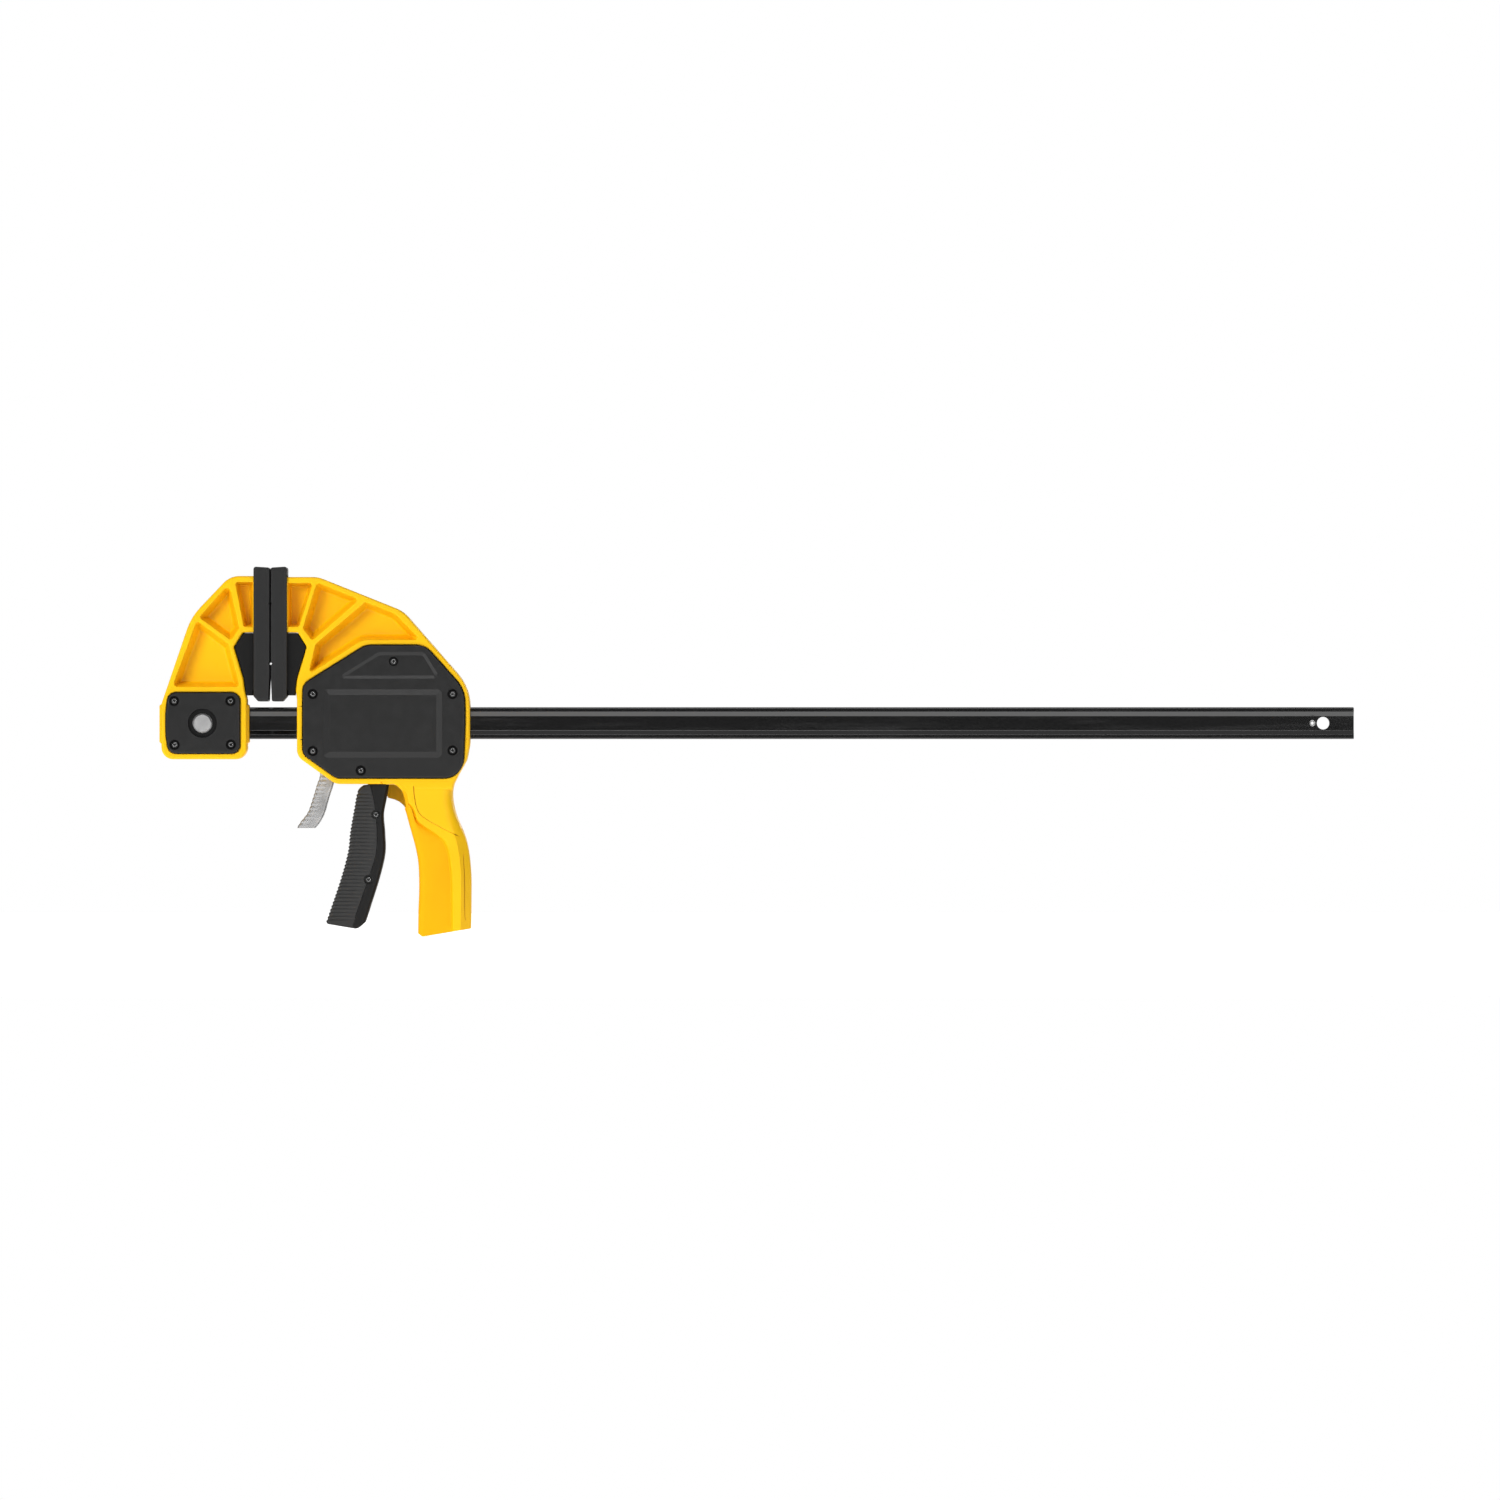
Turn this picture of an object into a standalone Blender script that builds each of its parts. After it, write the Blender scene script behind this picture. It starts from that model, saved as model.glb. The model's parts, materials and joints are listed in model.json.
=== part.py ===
"""Trigger bar clamp: an I-section bar, a fixed jaw and a sliding jaw with a pistol grip.

Frame: +X runs along the bar away from the fixed jaw, +Z points from the bar to the jaws,
and the side with the screws faces -Y. The origin is on the bar's centre line, at the outer
end face of the fixed jaw. Sizes below are millimetres; the helpers turn them into metres.
"""
from math import cos, pi, radians, sin, tan

import bmesh
import bpy
from mathutils import Matrix, Vector

MM = 0.001
GAP = 0.35              # clearance between pieces that touch
NAME = "trigger_bar_clamp"

# Bar, an I-section
BAR_START, BAR_END = 8.4, 823.6
BAR_HALF_HEIGHT, FLANGE_HALF, WEB_HALF = 11.0, 4.8, 2.7
FLANGE_EDGE, WEB_EDGE = 7.6, 5.0
BAR_HOLE_X, BAR_HOLE_RADIUS = 802.5, 4.35
STOP_X, STOP_RADIUS, STOP_BORE, STOP_HALF_LENGTH = 795.1, 1.9, 1.1, 4.5

# Jaws and pads; the sliding jaw's throat mirrors the fixed one about the clamping plane
CLAMP_PLANE = 76.55
JAW_HALF_WIDTH, POCKET_FLOOR, JAW_BEVEL = 17.0, 3.0, 1.2
COLLAR_X, COLLAR_Y, COLLAR_Z = (0.0, 61.8), (-12.0, 12.0), (-14.0, 13.0)
PAD_HALF_WIDTH, PAD_BACK, PAD_FACE = 20.0, 65.0, 76.2
PAD_POCKET_DEPTH, PAD_GROOVE_RADIUS = 5.9, 1.5
PAD_GROOVES = (82.4, 41.0)
PAD_BEVEL, PAD_POCKET_SPARE = 1.4, 0.5
LINER_HALF_WIDTH, LINER_BEVEL = 15.5, 0.6

# Covers and their screws
COVER_THICKNESS, COVER_RECESS, COVER_BEVEL = 3.5, 1.5, 1.0
PANEL_X, PANEL_HALF_HEIGHT, PANEL_RISE, PANEL_SLOPE = (115.0, 195.2), 23.9, 0.8, 2.2
UPPER_PANEL_DEPTH = 0.9
SCREW_HEAD, SCREW_SHANK, SCREW_SEAT = 2.3, 1.3, 3.3
HEAD_HEIGHT, SEAT_DEPTH, TIP_MARGIN = 1.1, 1.5, 2.0
BOSS_RADIUS, BOSS_END = 2.8, 8.0
HEAD_SCREWS = ((10.4, 15.3), (49.2, 15.3), (10.7, -14.9), (49.5, -14.7))
BODY_SCREWS = ((105.9, 20.1), (105.9, -19.2), (202.2, 20.1), (202.2, -18.8), (161.5, 42.6),
               (139.0, -32.6))

# Fixed jaw's release button
BUTTON_X, BUTTON_RADIUS, BUTTON_FLANGE, BUTTON_RING = 29.8, 6.5, 8.5, 9.7
LOCK_RADIUS, NECK_RADIUS, TAIL_RADIUS, BUTTON_STROKE = 3.7, 1.25, 1.8, 6.0
BUTTON_CHAMBER_X, BUTTON_CHAMBER_Z = (18.0, 42.0), (-14.5, 14.5)

# Sliding body and its mechanism
BODY_HALF_WIDTH, HANDLE_HALF_WIDTH = 17.5, 16.5
TRIGGER_PIVOT, TRIGGER_HALF_WIDTH = (150.0, 22.0), 12.5
CORE_HALF_WIDTH, FORK_HALF_GAP, FORK_ROOT = 9.0, 6.2, -16.0
PASSAGE_GAP, SLOT_GAP = 0.6, 0.6
TRIGGER_BEVEL, HANDLE_BEVEL = 2.6, 3.0
TRIGGER_BAY_X, TRIGGER_BAY_Z = (139.5, 168.0), (10.0, 30.0)
BRAKE_NOTCH_X, BRAKE_NOTCH_Y, BRAKE_NOTCH_Z = (121.0, 128.0), (-11.0, 11.0), (10.0, 18.4)
LEVER_PIVOT, LEVER_HALF_WIDTH = (115.0, -19.5), 7.0
TRIGGER_PIN_RADIUS, LEVER_PIN_RADIUS = 3.0, 2.0
TRIGGER_SCREWS = ((149.2, -63.0), (144.1, -107.8))
BRAKE_FULCRUM, BRAKE_TILT, BRAKE_BOTTOM = (124.5, 16.5), radians(4.0), -30.0
PLATE_THICKNESS = 3.0
DRIVE_PLATES, DRIVE_PLATE_BOTTOM, DRIVE_PLATE_TOP = (152.0, 155.4), -26.0, 14.0
FRONT_GUIDE, REAR_GUIDE = (97.6, 104.0), (174.0, 183.3)
GUIDE_HALF_WIDTH, GUIDE_HALF_HEIGHT, CHAMBER_HALF_HEIGHT = 12.0, 15.1, 15.5
DRIVE_COIL, BRAKE_COIL = (13.6, 0.7), (3.0, 0.4)
BRAKE_SPRING_Z, BRAKE_SPRING_END = -24.0, 131.6

FRONT, BACK = -1, 1     # the -Y side and the +Y side

for old in list(bpy.data.objects):
    bpy.data.objects.remove(old, do_unlink=True)


def new_collection(name):
    """Make a collection under the scene's own."""
    collection = bpy.data.collections.new(name)
    bpy.context.scene.collection.children.link(collection)
    return collection


PARTS = new_collection(NAME)
CUTTERS = new_collection("cutters")


def material(name, colour, roughness, metallic=0.0):
    """Make a Principled BSDF material of one linear colour."""
    made = bpy.data.materials.new(name)
    made.use_nodes = True
    shader = made.node_tree.nodes["Principled BSDF"]
    shader.inputs["Base Color"].default_value = (*colour, 1.0)
    shader.inputs["Roughness"].default_value = roughness
    shader.inputs["Metallic"].default_value = metallic
    return made


YELLOW = material("yellow_nylon", (0.98, 0.55, 0.006), 0.42)
BLACK = material("black_nylon", (0.028, 0.028, 0.028), 0.5)
RUBBER = material("black_rubber", (0.033, 0.033, 0.033), 0.7)
PAINT = material("black_painted_steel", (0.008, 0.008, 0.008), 0.3)
STEEL = material("bright_steel", (0.55, 0.55, 0.55), 0.32, 1.0)
ZINC = material("cast_zinc", (0.45, 0.45, 0.45), 0.45, 0.9)
SCREW_BLACK = material("black_oxide_steel", (0.02, 0.02, 0.02), 0.4, 0.6)


# ---------------------------------------------------------------- outlines in the XZ plane
def rounded(corners, step=radians(20)):
    """Turn corners (x, z) or (x, z, radius) into a closed run with arcs at the radii."""
    run = []
    for index, corner in enumerate(corners):
        here = Vector(corner[:2])
        if len(corner) == 2:
            run.append(here)
            continue
        before = (Vector(corners[index - 1][:2]) - here).normalized()
        after = (Vector(corners[(index + 1) % len(corners)][:2]) - here).normalized()
        half = before.angle(after) / 2
        middle = here + (before + after).normalized() * (corner[2] / sin(half))
        start = here + before * (corner[2] / tan(half)) - middle
        end = here + after * (corner[2] / tan(half)) - middle
        turn = pi - 2 * half
        steps = max(1, round(turn / step))
        sign = 1.0 if start.x * end.y - start.y * end.x > 0 else -1.0
        for number in range(steps + 1):
            angle = sign * turn * number / steps
            run.append(middle + Matrix.Rotation(angle, 2) @ start)
    return run


def smooth(points, steps=3):
    """Catmull-Rom run through the points, ends included."""
    knots = [Vector(point) for point in points]
    knots = [2 * knots[0] - knots[1]] + knots + [2 * knots[-1] - knots[-2]]
    run = []
    for a, b, c, d in zip(knots, knots[1:], knots[2:], knots[3:]):
        for number in range(steps):
            t = number / steps
            run.append(0.5 * (2 * b + (c - a) * t + (2 * a - 5 * b + 4 * c - d) * t * t
                              + (3 * b - a - 3 * c + d) * t * t * t))
    return [tuple(point) for point in run] + [tuple(knots[-2])]


def mirrored(corners):
    """Mirror corners about the clamping plane."""
    return [(2 * CLAMP_PLANE - corner[0], *corner[1:]) for corner in reversed(corners)]


def grown(run, distance):
    """Move a closed run outwards by a distance, or inwards by a negative one."""
    area = sum(a.x * b.y - a.y * b.x for a, b in zip(run, run[1:] + run[:1]))
    side = 1.0 if area > 0 else -1.0
    moved = []
    for before, here, after in zip(run[-1:] + run[:-1], run, run[1:] + run[:1]):
        first = (here - before).normalized()
        second = (after - here).normalized()
        bisector = Vector((first.y + second.y, -first.x - second.x)).normalized() * side
        across = Vector((first.y, -first.x)) * side
        moved.append(here + bisector * (distance / bisector.dot(across)))
    return moved


THROAT = [(60.4, 16.0), (58.9, 22.9), (58.0, 30.5), (51.4, 52.6, 2.0), (57.6, 62.5, 1.5)]
FIXED_JAW = [(70.7, 101.4), (48.8, 101.4, 15.0), (22.0, 73.2, 42.0), (1.4, 13.0), (1.4, -14.0),
             (2.0, -24.9, 8.0), (60.4, -24.9, 8.0)] + THROAT + [(70.7, 62.5)]
FIXED_POCKETS = (
    [(26.0, 70.5, 1.5), (9.2, 25.0, 3.0), (55.4, 25.0, 2.5), (47.7, 54.3, 1.5)],
    [(27.5, 72.9, 1.5), (48.2, 95.8, 3.0), (55.1, 65.6, 2.0), (49.5, 57.2, 2.0)],
    [(52.4, 97.3, 1.5), (64.0, 97.3), (64.0, 66.4), (58.4, 66.4, 1.5)])
HEAD_COVER = [(6.3, 21.3, 6.0), (4.5, 7.0, 30.0), (4.5, -7.0, 30.0), (6.3, -21.0, 6.0),
              (55.8, -21.0, 6.0), (55.8, 21.3, 6.0)]
LINER = THROAT[2:] + [(70.95, 62.5), (70.95, 22.0), (65.0, 22.0), (65.0, 18.8), (59.4, 18.8)]
PAD = [(65.0, 107.9, 1.5), (76.2, 107.2, 1.2), (76.2, 34.0), (75.4, 15.0, 1.0),
       (68.2, 15.0, 1.0), (65.0, 18.6, 1.0)]

BODY = ([(82.3, 62.5)] + mirrored(THROAT)[:-1] + [(94.9, 16.0), (94.9, -22.9, 9.0),
        (121.6, -42.0, 10.0), (158.0, -42.0), (160.0, -46.0), (202.6, -46.0), (203.2, -41.8),
        (207.7, -33.0, 10.0), (212.0, -25.5, 14.0), (214.1, -14.0, 20.0), (214.1, 24.5, 34.0),
        (168.0, 77.3, 23.0), (109.6, 100.7, 17.0), (82.3, 100.7)])
BODY_POCKETS = (
    [(89.2, 96.6), (105.9, 96.6, 2.0), (96.4, 66.4, 2.0), (89.2, 66.4)],
    [(108.8, 96.8, 2.0), (137.8, 85.2, 2.0), (105.5, 57.0, 1.5), (99.0, 65.3, 2.0)],
    [(142.1, 83.4, 1.5), (162.5, 75.2, 14.0), (179.7, 57.4, 1.5), (139.9, 57.4, 14.0),
     (103.0, 33.8, 1.5), (107.8, 54.5, 4.0)])
BODY_COVER = [(98.8, 26.9, 9.0), (98.8, -21.5, 8.0), (121.9, -38.0, 8.0), (209.4, -38.0, 14.0),
              (210.9, 0.0, 60.0), (210.7, 23.2, 24.0), (183.3, 54.0, 14.0), (142.3, 54.0, 14.0)]
HANDLE = ([(157.0, -36.0), (206.6, -36.0)]
          + smooth([(203.4, -41.5), (202.2, -50.2), (204.6, -62.7), (211.6, -80.6),
                    (214.6, -101.0), (214.9, -125.0), (214.6, -140.0)])
          + [(214.6, -142.2), (181.0, -147.2, 2.0), (178.2, -144.6)]
          + smooth([(178.3, -134.0), (178.9, -108.0), (176.6, -86.0), (172.5, -70.9),
                    (169.1, -59.2), (164.2, -53.7), (157.3, -50.9)]))
TRIGGER = ([(143.8, -36.0), (143.8, -42.2), (138.1, -45.4)]
           + smooth([(133.9, -59.9), (131.3, -75.0), (129.7, -89.0), (124.6, -108.0),
                     (117.5, -129.0)])
           + [(114.3, -138.2, 1.5), (136.5, -141.9, 4.0), (141.8, -137.2, 3.0)]
           + smooth([(145.2, -127.0), (151.5, -107.0), (155.4, -90.0), (155.3, -76.0),
                     (154.4, -63.0), (156.1, -53.0), (158.0, -42.0)])
           + [(158.4, -36.0)])
CORE = ([(143.6, 28.4, 5.5), (143.6, -44.0)]
        + smooth([(139.2, -60.0), (138.0, -80.0), (134.6, -101.0), (127.5, -124.0)])
        + [(125.9, -130.0, 2.0), (133.5, -130.0, 2.0), (135.6, -124.0)]
        + smooth([(141.0, -106.0), (145.2, -86.0), (146.0, -62.0), (148.6, -44.0)])
        + [(151.6, -34.0), (151.6, 14.0), (156.4, 17.0, 3.0), (156.4, 28.4, 5.5)])
LEVER = ([(110.4, -14.9, 4.3), (110.8, -28.0), (110.4, -35.1)]
         + smooth([(108.3, -42.6), (104.5, -55.1), (101.8, -62.0), (96.9, -68.4)])
         + [(95.4, -72.3, 1.0), (106.6, -72.3, 1.0)]
         + smooth([(109.6, -69.6), (113.5, -62.7), (116.8, -51.5), (120.1, -40.5)])
         + [(119.4, -33.0), (119.2, -28.0), (119.6, -14.9, 4.3)])
LEVER_BAY = [(109.8, -15.0), (132.0, -15.0), (132.0, -37.5), (122.2, -37.5), (109.8, -28.6)]
LEVER_SLOT = [(109.7, -22.0), (127.0, -22.0), (127.0, -46.0), (100.0, -46.0), (109.7, -35.0)]
TRIGGER_SLOT = [(142.9, -15.0), (168.0, -15.0), (170.0, -30.0), (170.0, -57.0),
                (166.0, -66.0), (142.9, -66.0)]
UPPER_PANEL = [(120.0, 29.8, 2.0), (193.0, 29.8, 3.0), (181.5, 48.2, 3.0), (148.5, 48.2, 3.0)]
PAD_POCKET_TOP, PAD_POCKET_BOTTOM = 101.9, 22.0


# ---------------------------------------------------------------- solids
def closed_mesh(source, name, collection):
    """Turn a curve object into a welded mesh object in the same place."""
    collection.objects.link(source)
    bpy.context.view_layer.update()
    evaluated = source.evaluated_get(bpy.context.evaluated_depsgraph_get())
    mesh = bpy.data.meshes.new_from_object(evaluated)
    work = bmesh.new()
    work.from_mesh(mesh)
    bmesh.ops.remove_doubles(work, verts=work.verts, dist=1e-6)
    bmesh.ops.dissolve_limit(work, angle_limit=radians(0.5), verts=work.verts,
                             edges=work.edges)
    work.to_mesh(mesh)
    work.free()
    made = bpy.data.objects.new(name, mesh)
    made.matrix_world = source.matrix_world.copy()
    collection.objects.link(made)
    bpy.data.objects.remove(source, do_unlink=True)
    mesh.name = name
    return made


def finish(made, look, bevel=0.0, segments=1, limit=30):
    """Give a piece its material, rounded edges and smooth shading."""
    if look:
        made.data.materials.clear()
        made.data.materials.append(look)
    if bevel:
        edges = made.modifiers.new("edges", "BEVEL")
        edges.width = bevel * MM
        edges.segments = segments
        edges.limit_method = "ANGLE"
        edges.angle_limit = radians(limit)
        edges.harden_normals = False
    made.data.shade_smooth()
    made.data.set_sharp_from_angle(angle=radians(32))
    if made.users_collection[0] == CUTTERS:
        made.hide_render = True
        made.display_type = "WIRE"
    return made


def plate(name, run, near, far, look=None, bevel=0.0, segments=1):
    """Extrude an outline of the XZ plane from Y = near to Y = far."""
    curve = bpy.data.curves.new(name + "_outline", "CURVE")
    curve.dimensions = "2D"
    curve.fill_mode = "BOTH"
    curve.extrude = abs(far - near) / 2 * MM
    spline = curve.splines.new("POLY")
    spline.points.add(len(run) - 1)
    for point, place in zip(spline.points, run):
        point.co = (place[0] * MM, place[1] * MM, 0.0, 1.0)
    spline.use_cyclic_u = True
    source = bpy.data.objects.new(name + "_outline", curve)
    source.matrix_world = (Matrix.Translation((0.0, (near + far) / 2 * MM, 0.0))
                           @ Matrix.Rotation(pi / 2, 4, "X"))
    made = closed_mesh(source, name, PARTS if look else CUTTERS)
    return finish(made, look, bevel, segments)


def beam(name, section, start, end, look=None, bevel=0.0):
    """Extrude a section of the YZ plane from X = start to X = end."""
    curve = bpy.data.curves.new(name + "_section", "CURVE")
    curve.dimensions = "2D"
    curve.fill_mode = "BOTH"
    curve.extrude = (end - start) / 2 * MM
    spline = curve.splines.new("POLY")
    spline.points.add(len(section) - 1)
    for point, place in zip(spline.points, section):
        point.co = (place[0] * MM, place[1] * MM, 0.0, 1.0)
    spline.use_cyclic_u = True
    source = bpy.data.objects.new(name + "_section", curve)
    turn = Matrix(((0, 0, 1, 0), (1, 0, 0, 0), (0, 1, 0, 0), (0, 0, 0, 1)))
    source.matrix_world = Matrix.Translation(((start + end) / 2 * MM, 0.0, 0.0)) @ turn
    made = closed_mesh(source, name, PARTS if look else CUTTERS)
    return finish(made, look, bevel)


def box(name, x, y, z, look=None, bevel=0.0):
    """Box between the limits x, y and z, each a (low, high) pair."""
    bpy.ops.mesh.primitive_cube_add(size=1.0)
    made = bpy.context.object
    limits = (x, y, z)
    size = Matrix.Diagonal([(high - low) * MM for low, high in limits]).to_4x4()
    made.data.transform(size)
    made.location = [(low + high) / 2 * MM for low, high in limits]
    return adopt(made, name, look, bevel)


def rod(name, x, z, radius, near, far, look=None, sides=20, bevel=0.0):
    """Round bar along Y."""
    bpy.ops.mesh.primitive_cylinder_add(vertices=sides, radius=radius * MM,
                                        depth=(far - near) * MM)
    made = bpy.context.object
    made.data.transform(Matrix.Rotation(pi / 2, 4, "X"))
    made.location = (x * MM, (near + far) / 2 * MM, z * MM)
    return adopt(made, name, look, bevel)


def adopt(made, name, look, bevel):
    """Name a primitive and move it into its collection."""
    made.name = name
    made.data.name = name
    for collection in list(made.users_collection):
        collection.objects.unlink(made)
    (PARTS if look else CUTTERS).objects.link(made)
    return finish(made, look, bevel)


def turned(name, profile, x, z, look, steps=16):
    """Turn a profile of (radius, y) points, from -Y to +Y down its outer side, about Y."""
    work = bmesh.new()
    points = [work.verts.new((radius * MM, 0.0, -y * MM)) for radius, y in profile]
    for first, second in zip(points, points[1:]):
        work.edges.new((first, second))
    mesh = bpy.data.meshes.new(name)
    work.to_mesh(mesh)
    work.free()
    made = bpy.data.objects.new(name, mesh)
    PARTS.objects.link(made)
    spin = made.modifiers.new("turn", "SCREW")
    spin.axis = "Z"
    spin.steps = steps
    spin.render_steps = steps
    spin.use_merge_vertices = True
    spin.merge_threshold = 1e-6
    made.rotation_euler = (pi / 2, 0.0, 0.0)
    made.location = (x * MM, 0.0, z * MM)
    return finish(made, look)


def coil(name, centre, axis, radius, wire, length, turns, look, per_turn=10):
    """Compression spring that starts at centre and runs along the axis, X or Y."""
    count = int(turns * per_turn) + 1
    curve = bpy.data.curves.new(name + "_wire", "CURVE")
    curve.dimensions = "3D"
    curve.bevel_depth = wire * MM
    curve.bevel_resolution = 1
    curve.use_fill_caps = True
    spline = curve.splines.new("POLY")
    spline.points.add(count - 1)
    for number, point in enumerate(spline.points):
        share = number / (count - 1)
        angle = 2 * pi * turns * share
        along = wire + (length - 2 * wire) * share
        around = (radius * cos(angle), radius * sin(angle))
        if axis == "X":
            place = (centre[0] + along, centre[1] + around[0], centre[2] + around[1])
        else:
            place = (centre[0] + around[0], centre[1] + along, centre[2] + around[1])
        point.co = (place[0] * MM, place[1] * MM, place[2] * MM, 1.0)
    source = bpy.data.objects.new(name + "_wire", curve)
    return finish(closed_mesh(source, name, PARTS), look)


def taper(made, inset, y_face):
    """Draw in the face of a box that lies at Y = y_face, so that its sides slope."""
    centre = made.location
    for vertex in made.data.vertices:
        if abs(vertex.co.y + centre.y - y_face * MM) < 1e-6:
            vertex.co.x -= inset * MM if vertex.co.x > 0 else -inset * MM
            vertex.co.z -= inset * MM if vertex.co.z > 0 else -inset * MM
    return made


def combine(made, others, operation):
    """Cut others from a piece, or join them to it."""
    for other in others:
        step = made.modifiers.new(other.name, "BOOLEAN")
        step.operation = operation
        step.object = other
        step.solver = "EXACT"
    return made


def hang(pivot_name, location, pieces):
    """Parent moving pieces to an empty on their joint's axis."""
    pivot = bpy.data.objects.new(pivot_name, None)
    pivot.empty_display_size = 0.01
    pivot.location = Vector(location) * MM
    PARTS.objects.link(pivot)
    for piece in pieces:
        piece.parent = pivot
        piece.matrix_parent_inverse = Matrix.Translation(-pivot.location)
    return pivot


# ---------------------------------------------------------------- bar
def bar_section(clearance=0.0):
    """I-section in (y, z), grown by a clearance."""
    half = FLANGE_HALF + clearance
    web = WEB_HALF + clearance
    top = BAR_HALF_HEIGHT + clearance
    edge = FLANGE_EDGE - clearance
    root = WEB_EDGE - clearance
    quarter = [(half, top), (half, edge), (web, root)]
    right = quarter + [(y, -z) for y, z in reversed(quarter)]
    return right + [(-y, -z) for y, z in right]


def make_bar():
    """Bar with its hanging hole, the stop pin's hole and the keyhole for the fixed jaw."""
    bar = beam("bar", bar_section(), BAR_START, BAR_END, PAINT)
    holes = [rod("hang_hole", BAR_HOLE_X, 0.0, BAR_HOLE_RADIUS, -6.0, 6.0, sides=32),
             rod("stop_hole", STOP_X, 0.0, STOP_RADIUS + GAP, -6.0, 6.0),
             rod("lock_hole", BUTTON_X, 0.0, LOCK_RADIUS + GAP, -6.0, 6.0),
             box("neck_slot", (BAR_START - 2, BUTTON_X), (-6, 6),
                 (-NECK_RADIUS - GAP, NECK_RADIUS + GAP))]
    combine(bar, holes, "DIFFERENCE")
    half = STOP_HALF_LENGTH
    turned("bar_stop_pin", [(STOP_BORE, -half), (STOP_RADIUS, -half), (STOP_RADIUS, half),
                            (STOP_BORE, half), (STOP_BORE, -half)], STOP_X, 0.0, STEEL)


# ---------------------------------------------------------------- covers and screws
def screw(name, x, z, head_y, tip_y):
    """Pan-head screw whose head looks to -Y."""
    under = head_y + HEAD_HEIGHT
    profile = [(0.0, head_y), (SCREW_HEAD - 0.5, head_y), (SCREW_HEAD, head_y + 0.4),
               (SCREW_HEAD, under), (SCREW_SHANK, under), (SCREW_SHANK, tip_y - 0.8),
               (0.0, tip_y)]
    return turned(name, profile, x, z, SCREW_BLACK, steps=12)


def cover(name, run, side, half_width, screws, bosses):
    """Cover plate in its recess; bosses are (x, z, radius, bore, end) tubes on its inside."""
    inner = half_width - COVER_RECESS + GAP
    outer = inner + COVER_THICKNESS
    near, far = sorted((side * inner, side * outer))
    made = plate(name, run, near, far, BLACK, bevel=COVER_BEVEL)
    joined = []
    holes = []
    for number, (x, z, radius, bore, end) in enumerate(bosses):
        low, high = sorted((side * end, side * (inner + 1)))
        joined.append(rod(f"{name}_boss_{number}", x, z, radius, low, high, sides=12))
        low, high = sorted((side * (end - 1), side * (inner + 0.2)))
        holes.append(rod(f"{name}_bore_{number}", x, z, bore, low, high, sides=10))
    if side == FRONT:
        for number, (x, z) in enumerate(screws):
            seat = side * (outer - SEAT_DEPTH)
            holes.append(rod(f"{name}_seat_{number}", x, z, SCREW_SEAT, -outer - 1, seat,
                             sides=16))
            holes.append(rod(f"{name}_hole_{number}", x, z, SCREW_SHANK + GAP, -outer - 1,
                             -inner + 1, sides=12))
    combine(made, joined, "UNION")
    return made, holes, outer


def screw_passages(name, screws, half_width):
    """Cutters for the screws' way through a moulding, and for the back cover's bosses."""
    passages = []
    for number, (x, z) in enumerate(screws):
        passages.append(rod(f"{name}_way_{number}", x, z, SCREW_SHANK + GAP, -half_width - 1,
                            half_width, sides=8))
        passages.append(rod(f"{name}_socket_{number}", x, z, BOSS_RADIUS + GAP,
                            BOSS_END - 0.5, half_width + 1, sides=12))
    return passages


def boss_list(screws):
    """Screw bosses of a back cover."""
    return [(x, z, BOSS_RADIUS, SCREW_SHANK + GAP, BOSS_END) for x, z in screws]


# ---------------------------------------------------------------- jaws
def pockets(name, outlines, half_width):
    """Cutters for the ribbed jaw's pockets, on both sides of its web."""
    cutters = []
    for number, corners in enumerate(outlines):
        for side in (FRONT, BACK):
            near, far = sorted((side * POCKET_FLOOR, side * (half_width + 1)))
            cutters.append(plate(f"{name}_{number}_{side}", rounded(corners), near, far))
    return cutters


def make_pad(prefix, flip):
    """Pad that slips over a jaw's front, and the liner that fills the jaw's throat."""
    turn = mirrored if flip else list
    pad = plate(prefix + "_pad", rounded(turn(PAD)), -PAD_HALF_WIDTH, PAD_HALF_WIDTH, RUBBER,
                bevel=PAD_BEVEL, segments=2)
    floor = PAD_BACK + PAD_POCKET_DEPTH
    inside = [(PAD_BACK - 1, PAD_POCKET_TOP), (floor, PAD_POCKET_TOP),
              (floor, PAD_POCKET_BOTTOM), (PAD_BACK - 1, PAD_POCKET_BOTTOM)]
    cutters = [plate(prefix + "_pad_pocket", rounded(turn(inside)),
                     -JAW_HALF_WIDTH - GAP - PAD_POCKET_SPARE,
                     JAW_HALF_WIDTH + GAP + PAD_POCKET_SPARE)]
    face = turn([(PAD_FACE + 0.2, 0.0)])[0][0]
    for number, z in enumerate(PAD_GROOVES):
        cutters.append(rod(f"{prefix}_groove_{number}", face, z, PAD_GROOVE_RADIUS,
                           -PAD_HALF_WIDTH - 1, PAD_HALF_WIDTH + 1, sides=12))
    combine(pad, cutters, "DIFFERENCE")
    plate(prefix + "_pad_liner", grown(rounded(turn(LINER)), -GAP), -LINER_HALF_WIDTH,
          LINER_HALF_WIDTH, BLACK, bevel=LINER_BEVEL)


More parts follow.
